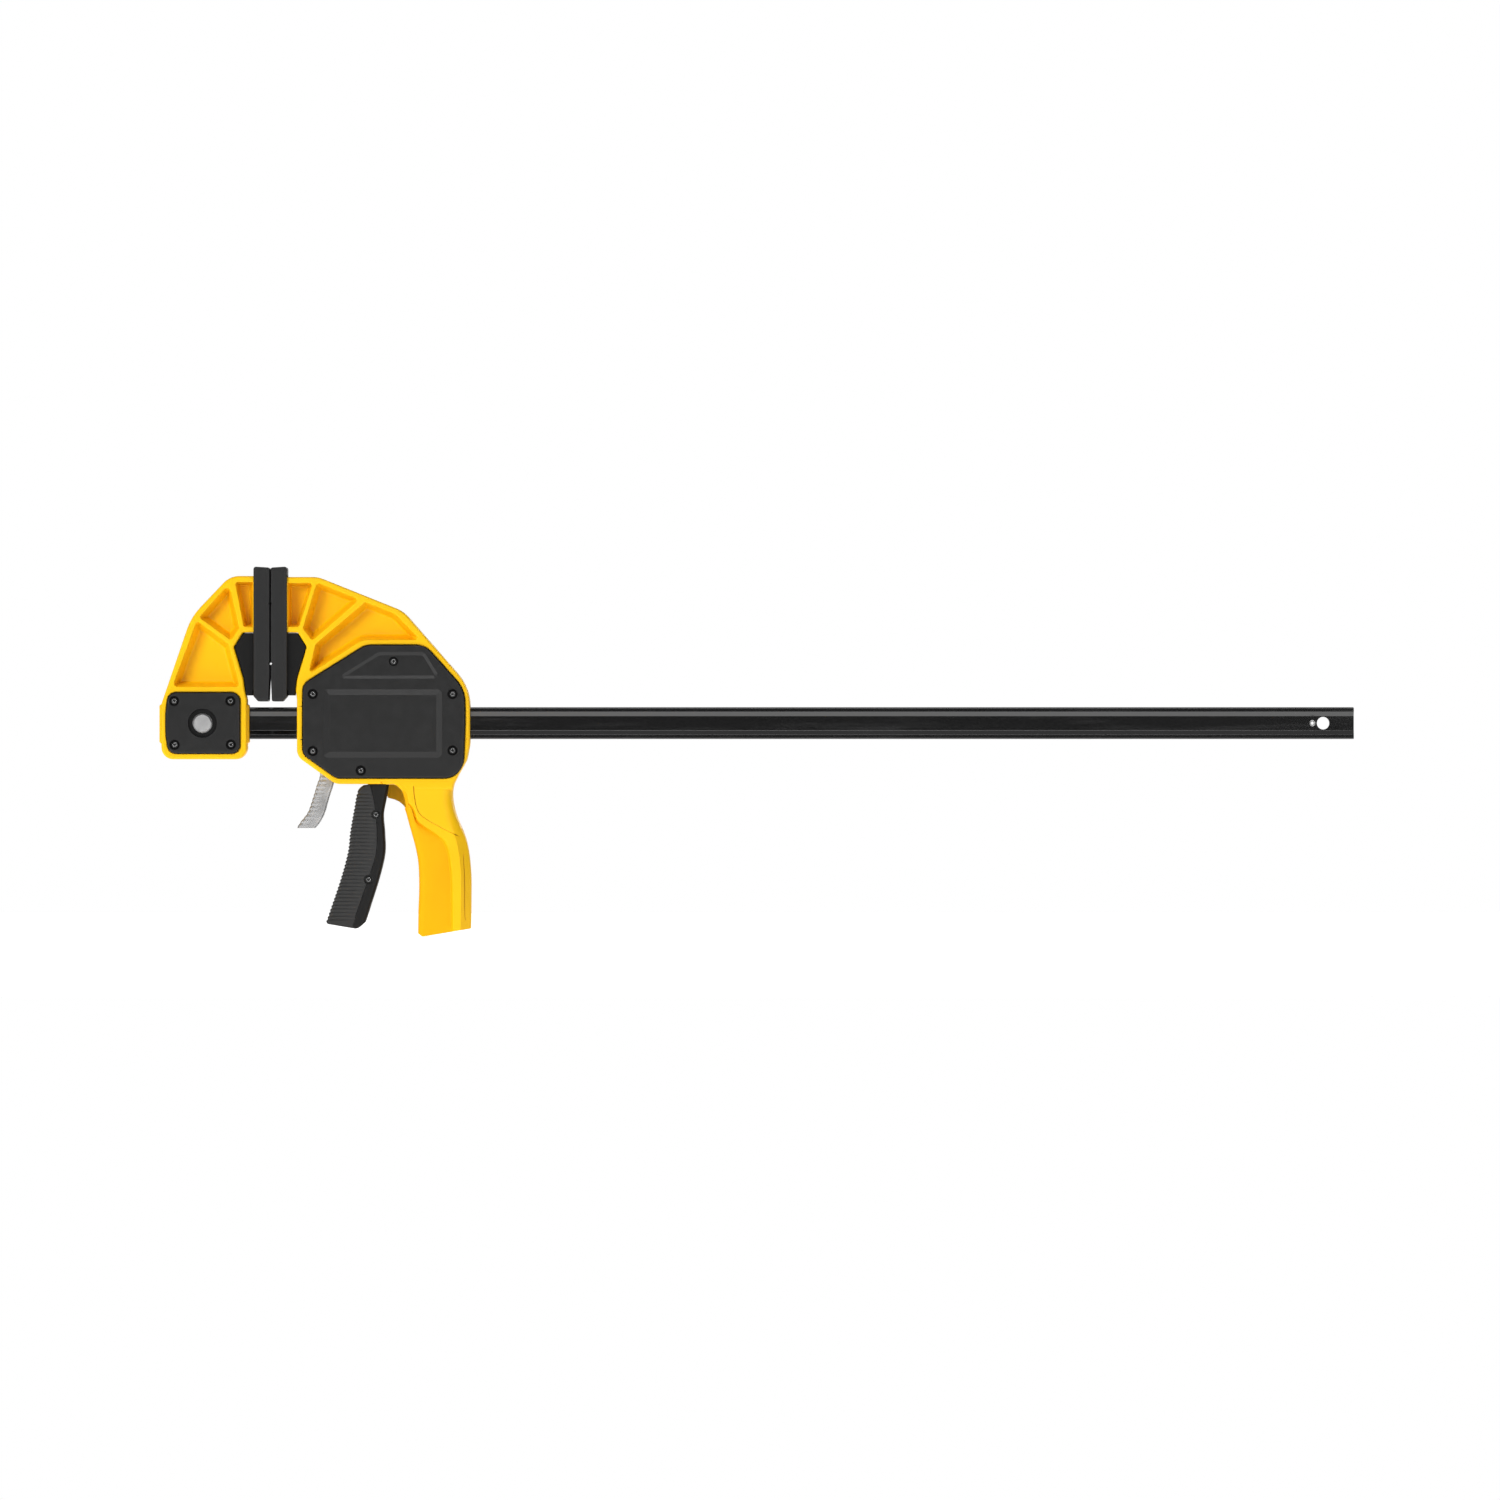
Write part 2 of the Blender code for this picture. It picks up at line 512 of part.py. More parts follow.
def make_fixed_jaw():
    """Ribbed jaw moulding with the bar's socket, its covers, screws, pad and button."""
    half = JAW_HALF_WIDTH
    jaw = plate("fixed_jaw_body", rounded(FIXED_JAW), -half, half, YELLOW,
                bevel=JAW_BEVEL, segments=2)
    collar = box("fixed_jaw_collar", COLLAR_X, COLLAR_Y, COLLAR_Z, bevel=1.0)
    combine(jaw, [collar], "UNION")
    recess = grown(rounded(HEAD_COVER), GAP)
    cutters = pockets("fixed_pocket", FIXED_POCKETS, half)
    for side in (FRONT, BACK):
        near, far = sorted((side * (half - COVER_RECESS), side * (half + 1)))
        cutters.append(plate(f"head_recess_{side}", recess, near, far))
    cutters.append(box("bar_socket", (BAR_START - GAP, 63.0),
                       (-FLANGE_HALF - GAP, FLANGE_HALF + GAP),
                       (-BAR_HALF_HEIGHT - GAP, BAR_HALF_HEIGHT + GAP)))
    cutters.append(box("button_chamber", BUTTON_CHAMBER_X, (-half, half), BUTTON_CHAMBER_Z))
    cutters += screw_passages("head", HEAD_SCREWS, half)
    combine(jaw, cutters, "DIFFERENCE")

    front, holes, outer = cover("fixed_jaw_front_cover", rounded(HEAD_COVER), FRONT, half,
                                HEAD_SCREWS, [])
    holes.append(rod("button_hole", BUTTON_X, 0.0, BUTTON_RADIUS + GAP, -outer - 1, 0.0,
                     sides=32))
    holes.append(rod("button_ring", BUTTON_X, 0.0, BUTTON_RING, -outer - 1, -outer + 1.2,
                     sides=32))
    combine(front, holes, "DIFFERENCE")
    back, holes, _ = cover("fixed_jaw_back_cover", rounded(HEAD_COVER), BACK, half,
                           HEAD_SCREWS, boss_list(HEAD_SCREWS))
    combine(back, holes, "DIFFERENCE")
    for number, (x, z) in enumerate(HEAD_SCREWS, 1):
        screw(f"fixed_jaw_screw_{number}", x, z, -outer + 0.3, half - TIP_MARGIN)
    make_pad("fixed_jaw", flip=False)
    make_button(outer)


def make_button(cover_face):
    """Button with its lock section, the neck that frees the bar, and the return spring."""
    face = -cover_face - 0.2
    flange = -JAW_HALF_WIDTH + COVER_RECESS
    lock = 3.2
    neck_end = -lock - BUTTON_STROKE + 0.6
    tail = 9.6
    profile = [(0.0, face), (BUTTON_RADIUS - 0.8, face), (BUTTON_RADIUS, face + 0.8),
               (BUTTON_RADIUS, flange), (BUTTON_FLANGE, flange), (BUTTON_FLANGE, flange + 1.5),
               (LOCK_RADIUS, flange + 1.5), (LOCK_RADIUS, neck_end), (NECK_RADIUS, neck_end),
               (NECK_RADIUS, -lock), (LOCK_RADIUS, -lock), (LOCK_RADIUS, lock),
               (TAIL_RADIUS, lock), (TAIL_RADIUS, tail), (0.0, tail)]
    button = turned("release_button", profile, BUTTON_X, 0.0, STEEL, steps=24)
    hang("button_axis", (BUTTON_X, 0.0, 0.0), [button])
    coil("button_spring", (BUTTON_X, lock + GAP, 0.0), "Y", 2.9, 0.4,
         JAW_HALF_WIDTH - COVER_RECESS - lock - GAP, 4, STEEL)


# ---------------------------------------------------------------- sliding body
def make_body():
    """Sliding moulding: jaw, mechanism housing and pistol grip, hollow for the mechanism."""
    half = BODY_HALF_WIDTH
    body = plate("main_body", rounded(BODY), -half, half, YELLOW, bevel=JAW_BEVEL, segments=2)
    handle = plate("handle_form", rounded(HANDLE), -HANDLE_HALF_WIDTH, HANDLE_HALF_WIDTH,
                   bevel=HANDLE_BEVEL, segments=3)
    combine(body, [handle], "UNION")
    recess = grown(rounded(BODY_COVER), GAP)
    cutters = pockets("body_pocket", BODY_POCKETS, half)
    for side in (FRONT, BACK):
        near, far = sorted((side * (half - COVER_RECESS), side * (half + 1)))
        cutters.append(plate(f"body_recess_{side}", recess, near, far))
    deep = (-half, half)
    height = (-CHAMBER_HALF_HEIGHT, CHAMBER_HALF_HEIGHT)
    cutters += [
        box("bar_passage", (90.0, 220.0), (-FLANGE_HALF - PASSAGE_GAP, FLANGE_HALF + PASSAGE_GAP),
            (-BAR_HALF_HEIGHT - PASSAGE_GAP, BAR_HALF_HEIGHT + PASSAGE_GAP)),
        box("chamber", (FRONT_GUIDE[0] - GAP, REAR_GUIDE[1] + GAP), deep, height),
        box("trigger_bay", TRIGGER_BAY_X, deep, TRIGGER_BAY_Z),
        box("brake_notch", BRAKE_NOTCH_X, BRAKE_NOTCH_Y, BRAKE_NOTCH_Z),
        plate("lever_bay", rounded(LEVER_BAY), *deep),
        plate("lever_slot", rounded(LEVER_SLOT), -LEVER_HALF_WIDTH - SLOT_GAP,
              LEVER_HALF_WIDTH + SLOT_GAP),
        plate("trigger_slot", rounded(TRIGGER_SLOT), -TRIGGER_HALF_WIDTH - SLOT_GAP,
              TRIGGER_HALF_WIDTH + SLOT_GAP)]
    cutters += screw_passages("body", BODY_SCREWS, half)
    combine(body, cutters, "DIFFERENCE")
    make_pad("moving_jaw", flip=True)


def make_body_covers():
    """Two covers that carry the pivot pins, with a raised panel and a recessed one above it."""
    pins = [(*TRIGGER_PIVOT, 5.5, TRIGGER_PIN_RADIUS + GAP, CORE_HALF_WIDTH + 0.5),
            (*LEVER_PIVOT, 3.6, LEVER_PIN_RADIUS + GAP, LEVER_HALF_WIDTH + 0.5)]
    for side, label in ((FRONT, "front"), (BACK, "back")):
        bosses = pins + (boss_list(BODY_SCREWS) if side == BACK else [])
        made, holes, outer = cover(f"body_{label}_cover", rounded(BODY_COVER), side,
                                   BODY_HALF_WIDTH, BODY_SCREWS, bosses)
        face = side * (outer + PANEL_RISE)
        low, high = sorted((side * (outer - 1.0), face))
        panel = box(f"{label}_panel", PANEL_X, (low, high),
                    (-PANEL_HALF_HEIGHT, PANEL_HALF_HEIGHT))
        taper(panel, PANEL_SLOPE, face)
        combine(made, [panel], "UNION")
        low, high = sorted((side * (outer - UPPER_PANEL_DEPTH), side * (outer + 1.0)))
        upper = plate(f"{label}_upper", rounded(UPPER_PANEL), low, high)
        combine(made, [upper] + holes, "DIFFERENCE")
    for number, (x, z) in enumerate(BODY_SCREWS, 1):
        screw(f"body_screw_{number}", x, z, -outer + 0.3, BODY_HALF_WIDTH - TIP_MARGIN)
    length = BODY_HALF_WIDTH - COVER_RECESS - 0.2
    rod("trigger_pivot_pin", *TRIGGER_PIVOT, TRIGGER_PIN_RADIUS, -length, length, STEEL,
        bevel=0.4)
    rod("lever_pivot_pin", *LEVER_PIVOT, LEVER_PIN_RADIUS, -length, length, STEEL, sides=16,
        bevel=0.3)


def make_guides():
    """Two guides with the bar's section as their bore; the rear one meets the stop pin."""
    for name, (start, end) in (("front_bar_guide", FRONT_GUIDE), ("rear_bar_guide", REAR_GUIDE)):
        guide = box(name, (start, end), (-GUIDE_HALF_WIDTH, GUIDE_HALF_WIDTH),
                    (-GUIDE_HALF_HEIGHT, GUIDE_HALF_HEIGHT), BLACK, bevel=0.5)
        bore = beam(name + "_bore", bar_section(GAP), start - 1, end + 1)
        combine(guide, [bore], "DIFFERENCE")


def make_plates():
    """Two drive plates and the tilted brake plate, with the springs that return them."""
    window = (FLANGE_HALF + GAP, BAR_HALF_HEIGHT + GAP)
    plates = []
    for number, start in enumerate(DRIVE_PLATES, 1):
        end = start + PLATE_THICKNESS
        made = box(f"drive_plate_{number}", (start, end), (-10.0, 10.0),
                   (DRIVE_PLATE_BOTTOM, DRIVE_PLATE_TOP), STEEL, bevel=0.4)
        hole = box(f"drive_window_{number}", (start - 1, end + 1), (-window[0], window[0]),
                   (-window[1], window[1]))
        plates.append(combine(made, [hole], "DIFFERENCE"))
    hang("drive_plate_axis", (DRIVE_PLATES[0], 0.0, 0.0), plates)
    rear = DRIVE_PLATES[1] + PLATE_THICKNESS + GAP
    coil("drive_spring", (rear, 0.0, 0.0), "X", *DRIVE_COIL, REAR_GUIDE[0] - GAP - rear, 4,
         STEEL)

    x, z = BRAKE_FULCRUM
    half = PLATE_THICKNESS / 2
    made = box("brake_plate", (x - half, x + half), (-9.5, 9.5), (BRAKE_BOTTOM, z + 1.2),
               STEEL, bevel=0.4)
    hole = box("brake_window", (x - half - 1, x + half + 1), (-window[0], window[0]),
               (-window[1] - 0.4, window[1] + 0.4))
    lean = (Matrix.Translation((x * MM, 0.0, z * MM)) @ Matrix.Rotation(BRAKE_TILT, 4, "Y")
            @ Matrix.Translation((-x * MM, 0.0, -z * MM)))
    for piece in (made, hole):
        bpy.context.view_layer.update()
        piece.matrix_world = lean @ piece.matrix_world
    combine(made, [hole], "DIFFERENCE")
    hang("brake_axis", (x, 0.0, z), [made])
    rear = x - (z - BRAKE_SPRING_Z) * tan(BRAKE_TILT) + half + 0.5
    coil("brake_spring", (rear, 0.0, BRAKE_SPRING_Z), "X", *BRAKE_COIL,
         BRAKE_SPRING_END - rear, 4, STEEL)


def make_trigger():
    """Steel core with a fork round the bar, and two grip shells screwed together over it."""
    core = plate("trigger_lever", rounded(CORE), -CORE_HALF_WIDTH, CORE_HALF_WIDTH, STEEL)
    fork = box("fork_gap", (130.0, 165.0), (-FORK_HALF_GAP, FORK_HALF_GAP), (FORK_ROOT, 35.0))
    eye = rod("core_eye", *TRIGGER_PIVOT, TRIGGER_PIN_RADIUS + GAP, -12.0, 12.0)
    combine(core, [fork, eye], "DIFFERENCE")
    half = TRIGGER_HALF_WIDTH
    pocket = plate("core_pocket", grown(rounded(CORE), GAP), -CORE_HALF_WIDTH - GAP,
                   CORE_HALF_WIDTH + GAP)
    shells = []
    for side, label in ((FRONT, "front"), (BACK, "back")):
        shell = plate(f"trigger_{label}_grip", rounded(TRIGGER), -half, half, BLACK,
                      bevel=TRIGGER_BEVEL, segments=2)
        low, high = sorted((-side * (half + 1), side * GAP / 2))
        split = box(f"grip_split_{label}", (100.0, 175.0), (low, high), (-150.0, -20.0))
        cutters = [split, pocket]
        for number, (x, z) in enumerate(TRIGGER_SCREWS):
            cutters.append(rod(f"grip_hole_{label}_{number}", x, z, SCREW_SHANK + GAP,
                               -half - 1, half - TIP_MARGIN, sides=12))
            if side == FRONT:
                cutters.append(rod(f"grip_seat_{number}", x, z, SCREW_SEAT - 0.3, -half - 1,
                                   -half + SEAT_DEPTH))
        shells.append(combine(shell, cutters, "DIFFERENCE"))
    screws = [screw(f"trigger_screw_{number}", x, z, -half + 0.2, half - 3.0)
              for number, (x, z) in enumerate(TRIGGER_SCREWS, 1)]
    x, z = TRIGGER_PIVOT
    hang("trigger_axis", (x, 0.0, z), [core] + shells + screws)


def make_lever():
    """Cast release lever in front of the trigger."""
    lever = plate("release_lever", rounded(LEVER), -LEVER_HALF_WIDTH, LEVER_HALF_WIDTH, ZINC,
                  bevel=JAW_BEVEL, segments=2)
    eye = rod("lever_eye", *LEVER_PIVOT, LEVER_PIN_RADIUS + GAP, -10.0, 10.0)
    combine(lever, [eye], "DIFFERENCE")
    x, z = LEVER_PIVOT
    hang("lever_axis", (x, 0.0, z), [lever])


make_bar()
make_fixed_jaw()
make_body()
make_body_covers()
make_guides()
make_plates()
make_trigger()
make_lever()
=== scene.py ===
"""Looks of the trigger bar clamp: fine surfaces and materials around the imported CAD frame.

Sizes are millimetres in the outlines below and metres in Blender; the helpers convert.
"""
import json
from bisect import bisect_left
from math import cos, hypot, pi, radians, sin, tan

import bmesh
import bpy
from mathutils import Matrix, Vector


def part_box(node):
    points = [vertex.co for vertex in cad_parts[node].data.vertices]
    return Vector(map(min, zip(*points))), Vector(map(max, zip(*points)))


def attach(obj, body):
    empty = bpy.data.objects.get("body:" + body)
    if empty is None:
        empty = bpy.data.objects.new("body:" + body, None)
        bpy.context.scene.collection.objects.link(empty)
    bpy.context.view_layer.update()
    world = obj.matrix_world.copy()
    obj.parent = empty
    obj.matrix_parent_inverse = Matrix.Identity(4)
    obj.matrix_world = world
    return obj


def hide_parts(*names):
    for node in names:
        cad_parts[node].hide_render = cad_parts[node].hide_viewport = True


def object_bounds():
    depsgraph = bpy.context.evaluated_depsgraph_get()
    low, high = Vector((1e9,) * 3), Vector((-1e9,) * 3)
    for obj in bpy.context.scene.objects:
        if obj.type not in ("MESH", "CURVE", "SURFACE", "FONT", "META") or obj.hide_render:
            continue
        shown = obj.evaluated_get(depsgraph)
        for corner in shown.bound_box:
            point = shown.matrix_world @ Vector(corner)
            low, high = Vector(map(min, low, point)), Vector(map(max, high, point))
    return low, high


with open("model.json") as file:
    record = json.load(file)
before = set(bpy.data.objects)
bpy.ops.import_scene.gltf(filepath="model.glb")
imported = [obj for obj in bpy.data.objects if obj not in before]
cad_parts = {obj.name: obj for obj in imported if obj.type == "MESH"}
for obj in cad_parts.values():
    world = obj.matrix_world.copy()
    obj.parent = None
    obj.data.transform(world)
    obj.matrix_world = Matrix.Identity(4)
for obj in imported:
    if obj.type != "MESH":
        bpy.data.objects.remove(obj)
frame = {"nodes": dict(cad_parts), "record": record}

cad_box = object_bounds()

MM = 0.001
FRONT, BACK = -1, 1
ARC_STEPS = 8

# Mouldings and covers: edges, depths below or above the surface, spare room round a seat,
# skin left over a chamber and how far a cutter reaches beyond a surface
RIM_RADIUS = 1.8
POCKET_FLOOR, POCKET_LIP = 3.0, 0.7
COVER_THICKNESS, COVER_SEAT, SEAT_SPARE = 3.5, 1.5, 0.35
PANEL_RISE, PANEL_SLOPE, PANEL_OVERLAP, UPPER_DEPTH = 0.8, 4.0, 0.02, 0.9
SKIN = 0.5
BEYOND = 1.0

# Screws and round holes: radii, then chamfers and depths of the seats
SCREW_HEAD, SCREW_WAY, SCREW_SEAT, BOSS_SOCKET = 2.3, 1.65, 3.3, 3.15
GRIP_SEAT, GRIP_WAY = 3.0, 1.6
BUTTON_RING, BUTTON_BORE = 9.7, 6.85
HANG_RADIUS, STOP_RADIUS, LOCK_RADIUS, LEVER_BORE = 4.35, 2.1, 4.05, 2.35
DRIVE_OUTER, DRIVE_INNER, LOBES = 1.35, 0.95, 6
SEAT_LIP, SEAT_DEPTH, RING_LIP, RING_DEPTH, HOLE_DEPTH = 0.35, 2.4, 0.4, 2.2, 6.0
GRIP_LIP, GRIP_DEPTH = 0.3, 1.5
# Reach from the middle of the deep black painted shade on a seat's and the button ring's floor
SEAT_SHADE_REACH, RING_SHADE_REACH = 3.6, 10.5

# Boxes that are cut out: spans along x, y and z
SOCKET = ((8.05, 64.0), (-5.15, 5.15), (-11.35, 11.35))
PASSAGE = ((90.0, 220.0), (-5.4, 5.4), (-11.5, 11.5))
BRAKE_NOTCH = ((121.0, 128.0), (-11.0, 11.0), (10.0, 18.4))
BUTTON_CHAMBER_X, BUTTON_CHAMBER_Z = (18.0, 42.0), (-14.5, 14.5)
CHAMBER_X, CHAMBER_Z = (97.25, 183.65), (-15.5, 15.5)
TRIGGER_BAY_X, TRIGGER_BAY_Z = (139.5, 168.0), (10.0, 30.0)
LEVER_SLOT_HALF, TRIGGER_SLOT_HALF, CORE_HALF = 7.6, 13.1, 9.35

# Outlines in the XZ plane: corners (x, z) or (x, z, radius); pockets have (draft, fillet) too
CLAMP_PLANE = 76.55
THROAT = [(60.4, 16.0), (58.9, 22.9), (58.0, 30.5, 12.0), (51.4, 52.6, 2.2),
          (57.6, 62.5, 2.0)]
FIXED_JAW = [(70.7, 101.4), (48.8, 101.4, 15.0), (22.0, 73.2, 42.0), (1.4, 13.0), (1.4, -14.0),
             (2.0, -24.9, 8.0), (60.4, -24.9, 8.0)] + THROAT + [(70.7, 62.5)]
WIDE, NARROW = (2.6, 2.4), (1.7, 1.2)
FIXED_POCKETS = (
    (WIDE, [(26.0, 70.5, 1.6), (9.2, 25.0, 2.6), (55.4, 25.0, 2.2), (47.7, 54.3, 1.6)]),
    (WIDE, [(27.5, 72.9, 1.6), (48.2, 95.8, 2.6), (55.1, 65.6, 2.0), (49.5, 57.2, 2.0)]),
    (NARROW, [(52.4, 97.3, 1.6), (64.6, 97.3), (64.6, 66.4), (58.4, 66.4, 1.6)]))
COLLAR_END, COLLAR_LOW, COLLAR_TOP, COLLAR_CORNER = 61.8, -14.0, 13.0, 1.6
COLLAR_HALF, COLLAR_EDGE = 13.0, 1.0
HEAD_COVER = [(6.3, 21.3, 6.0), (4.5, 7.0, 30.0), (4.5, -7.0, 30.0), (6.3, -21.0, 6.0),
              (55.8, -21.0, 6.0), (55.8, 21.3, 6.0)]
LINER = THROAT[2:] + [(70.95, 62.5), (70.95, 22.0), (65.0, 22.0), (65.0, 18.8), (59.4, 18.8)]
PAD = [(65.0, 107.9, 1.8), (76.2, 107.2, 1.4), (76.2, 34.0), (75.4, 15.0, 1.2),
       (68.2, 15.0, 1.5), (65.0, 18.6, 1.5)]
PAD_HOLLOW = [(64.0, 101.9), (70.9, 101.9), (70.9, 22.0), (64.0, 22.0)]
PAD_HOLLOW_HALF = 17.8
PAD_EDGE = [(0.0, 2.3), (0.12, 1.9), (0.5, 0.35), (0.8, 0.08), (1.2, 0.0)]
PAD_FACE, GROOVE_RADIUS, GROOVE_REACH = 76.4, 1.25, 7.0
UPPER_GROOVE, LOWER_GROOVE = 82.4, 41.0
BODY_TAIL = [(94.9, 16.0), (94.9, -22.9, 9.0), (121.6, -42.0, 10.0), (158.0, -42.0),
             (160.0, -46.0), (202.0, -46.0), (203.2, -41.8), (207.7, -33.0, 10.0),
             (212.0, -25.5, 14.0), (214.1, -14.0, 20.0), (214.1, 24.5, 34.0),
             (168.0, 77.3, 23.0), (109.6, 100.7, 17.0), (82.3, 100.7)]
BODY_POCKETS = (
    (NARROW, [(88.6, 96.6), (105.9, 96.6, 2.0), (96.4, 66.4, 2.0), (88.6, 66.4)]),
    (WIDE, [(108.8, 96.8, 2.0), (137.8, 85.2, 2.0), (105.5, 57.0, 1.6), (99.0, 65.3, 2.0)]),
    (WIDE, [(142.1, 83.4, 1.6), (162.5, 75.2, 14.0), (179.7, 57.4, 1.6), (139.9, 57.4, 14.0),
            (103.0, 33.8, 1.6), (107.8, 54.5, 4.0)]))
BODY_COVER = [(98.8, 26.9, 9.0), (98.8, -21.5, 8.0), (121.9, -38.0, 8.0), (209.4, -38.0, 14.0),
              (210.9, 0.0, 60.0), (210.7, 23.2, 24.0), (183.3, 54.0, 14.0), (142.3, 54.0, 14.0)]
MAIN_PANEL = [(113.0, 23.6, 3.0), (113.0, -24.0, 3.0), (195.2, -24.0, 4.0), (195.2, 23.6, 4.0)]
UPPER_PANEL = [(121.0, 30.4, 2.0), (194.5, 30.4, 3.0), (183.0, 49.2, 5.0), (151.0, 49.2, 6.0)]
LEVER_BAY = [(109.8, -15.0), (132.0, -15.0), (132.0, -37.5), (122.2, -37.5), (109.8, -28.6)]
LEVER_SLOT = [(109.7, -22.0), (127.0, -22.0), (127.0, -46.0), (100.0, -46.0), (109.7, -35.0)]
TRIGGER_SLOT = [(142.9, -15.0), (168.0, -15.0), (170.0, -30.0), (170.0, -57.0),
                (166.0, -66.0), (142.9, -66.0)]
SCOOP = [(155.0, -42.3), (162.9, -42.3, 5.0), (167.4, -46.8, 9.0), (169.4, -54.0, 14.0),
         (170.2, -61.0), (170.2, -68.0), (155.0, -68.0)]
SCOOP_LEVELS = [(-18.0, -2.6), (-17.2, -2.5), (-16.6, -2.2), (-16.0, -1.7), (-15.3, -0.9),
                (-14.6, -0.3), (-13.0, 0.0), (-12.0, 0.0)]
GRIP_FOOT = [(150.0, -30.0), (220.0, -30.0), (220.0, -141.3), (214.6, -141.6, 1.2),
             (181.2, -147.2, 2.6), (177.9, -144.6, 2.0), (150.0, -140.0)]
GRIP_EDGE = [(17.6, 1.6), (16.8, 0.8), (15.6, 0.2), (14.0, 0.0)]
TRIGGER_FOOT = [(175.0, -20.0), (175.0, -128.0), (145.2, -128.4), (141.8, -137.2, 3.2),
                (136.5, -141.9, 4.5), (114.3, -138.2, 2.2), (117.1, -129.3), (95.0, -125.0),
                (95.0, -20.0)]
CORE = [(143.6, -30.0), (143.6, -44.0), (139.2, -60.0), (138.0, -80.0), (134.6, -101.0),
        (127.5, -124.0), (125.9, -130.0), (133.5, -130.0), (135.6, -124.0), (141.0, -106.0),
        (145.2, -86.0), (146.0, -62.0), (148.6, -44.0), (151.6, -34.0), (151.6, -30.0)]

# Grooves of the grip's sides: (x, z) points, then distance from the middle plane and depth
CREASE = [(175.3, -43.5), (175.8, -50.0), (177.6, -58.5), (181.0, -64.0), (190.0, -69.6),
          (201.0, -75.3), (204.0, -76.8)]
CREASE_END = [(203.4, -76.5), (206.0, -77.8), (208.5, -79.1), (211.0, -80.4)]
INSERT = [(216.0, -87.4), (212.0, -88.0), (209.8, -90.6), (210.4, -108.0),
          (210.6, -133.0), (212.4, -135.6), (216.0, -136.2)]
GROOVES = (("crease", CREASE, 16.9, 1.3), ("crease_end", CREASE_END, 16.5, 3.4),
           ("insert", INSERT, 14.2, 1.9))
GROOVE_WIDTH = 0.8
MARKS = ((96.6, 11.6), (96.6, -11.2), (212.6, -11.2))
MARK_LEFT, MARK_RIGHT, MARK_HALF, MARK_DEPTH = 2.6, 2.2, 0.28, 0.6

# Pistol grip: half width and its taper, how far its side is sunk at the front and at the
# ridge, widths of the front round, the rear round and the ridge's flank, rings of the loft
GRIP_HALF, GRIP_TAPER = 17.4, 1.2
FRONT_SUNK, RIDGE_SUNK = 0.8, 3.1
FRONT_ROUND, REAR_ROUND, FLANK = 4.5, 8.0, 2.2
GRIP_TOP, GRIP_STEP, GRIP_RINGS = -36.5, 1.25, 91
# Heights where the taper, the sunk side, the rear slope and the matt front with painted shade
# start
TAPER_TOP, SUNK_TOP, SLOPE_TOP, MATT_TOP = -46.0, -50.0, -60.0, -46.5
TAPER_LENGTH, SUNK_LENGTH, SLOPE_LENGTH = 40.0, 12.0, 22.0

# Runs (z, x) from the top down, for shapes that are lofted along Z
HANDLE_FRONT = [(-36.0, 156.0), (-50.6, 156.6), (-52.4, 161.0), (-54.8, 165.6), (-59.2, 169.1),
                (-70.9, 172.5), (-86.0, 176.6), (-98.0, 178.6), (-115.0, 179.0),
                (-132.0, 178.4), (-150.0, 178.2)]
HANDLE_REAR = [(-36.0, 205.8), (-41.5, 203.4), (-50.2, 202.2), (-62.7, 204.6), (-80.6, 211.6),
               (-101.0, 214.6), (-125.0, 214.9), (-150.0, 214.5)]
HANDLE_RIDGE = [(-36.0, 156.5), (-42.0, 161.0), (-45.0, 167.5), (-49.5, 171.1), (-56.4, 172.8),
                (-63.3, 175.3), (-68.9, 180.1), (-76.5, 191.1), (-81.3, 196.6), (-87.5, 199.4),
                (-96.0, 200.9), (-110.0, 202.0), (-150.0, 202.6)]
TRIGGER_FRONT = [(-34.0, 143.8), (-42.2, 143.8), (-42.5, 141.0), (-47.2, 136.5), (-59.9, 133.9),
                 (-75.0, 131.3), (-89.0, 129.7), (-108.0, 124.6), (-129.0, 117.5),
                 (-144.0, 112.2)]
TRIGGER_REAR = [(-34.0, 158.4), (-42.0, 158.0), (-53.0, 156.1), (-63.0, 154.4), (-76.0, 155.3),
                (-90.0, 155.4), (-107.0, 151.5), (-127.0, 145.2), (-144.0, 140.0)]
TRIGGER_LINE = [(-34.0, 144.9), (-42.0, 145.4), (-53.0, 148.0), (-63.0, 149.2), (-73.7, 150.1),
                (-86.8, 149.9), (-94.4, 148.4), (-107.8, 144.1), (-119.2, 140.1),
                (-133.7, 135.2), (-144.0, 131.8)]
LEVER_FRONT = [(-14.0, 110.6), (-35.1, 110.4), (-42.6, 108.3), (-55.1, 104.5), (-62.0, 101.8),
               (-68.4, 96.9), (-74.0, 93.6)]
LEVER_REAR = [(-14.0, 119.5), (-28.0, 119.2), (-34.0, 119.4), (-40.5, 120.1), (-51.5, 116.8),
              (-62.7, 113.5), (-69.6, 109.6), (-74.0, 105.5)]
TRIGGER_TOP, TRIGGER_LENGTH, TRIGGER_RINGS, LEVER_RINGS = -35.0, 108.5, 440, 260
TRIGGER_RIBS_LOW, TRIGGER_RIBS_TOP, LEVER_RIBS_TOP = -136.0, -47.0, -34.0
TRIGGER_LINE_END, LEVER_LINE_SHARE = -134.0, 0.66


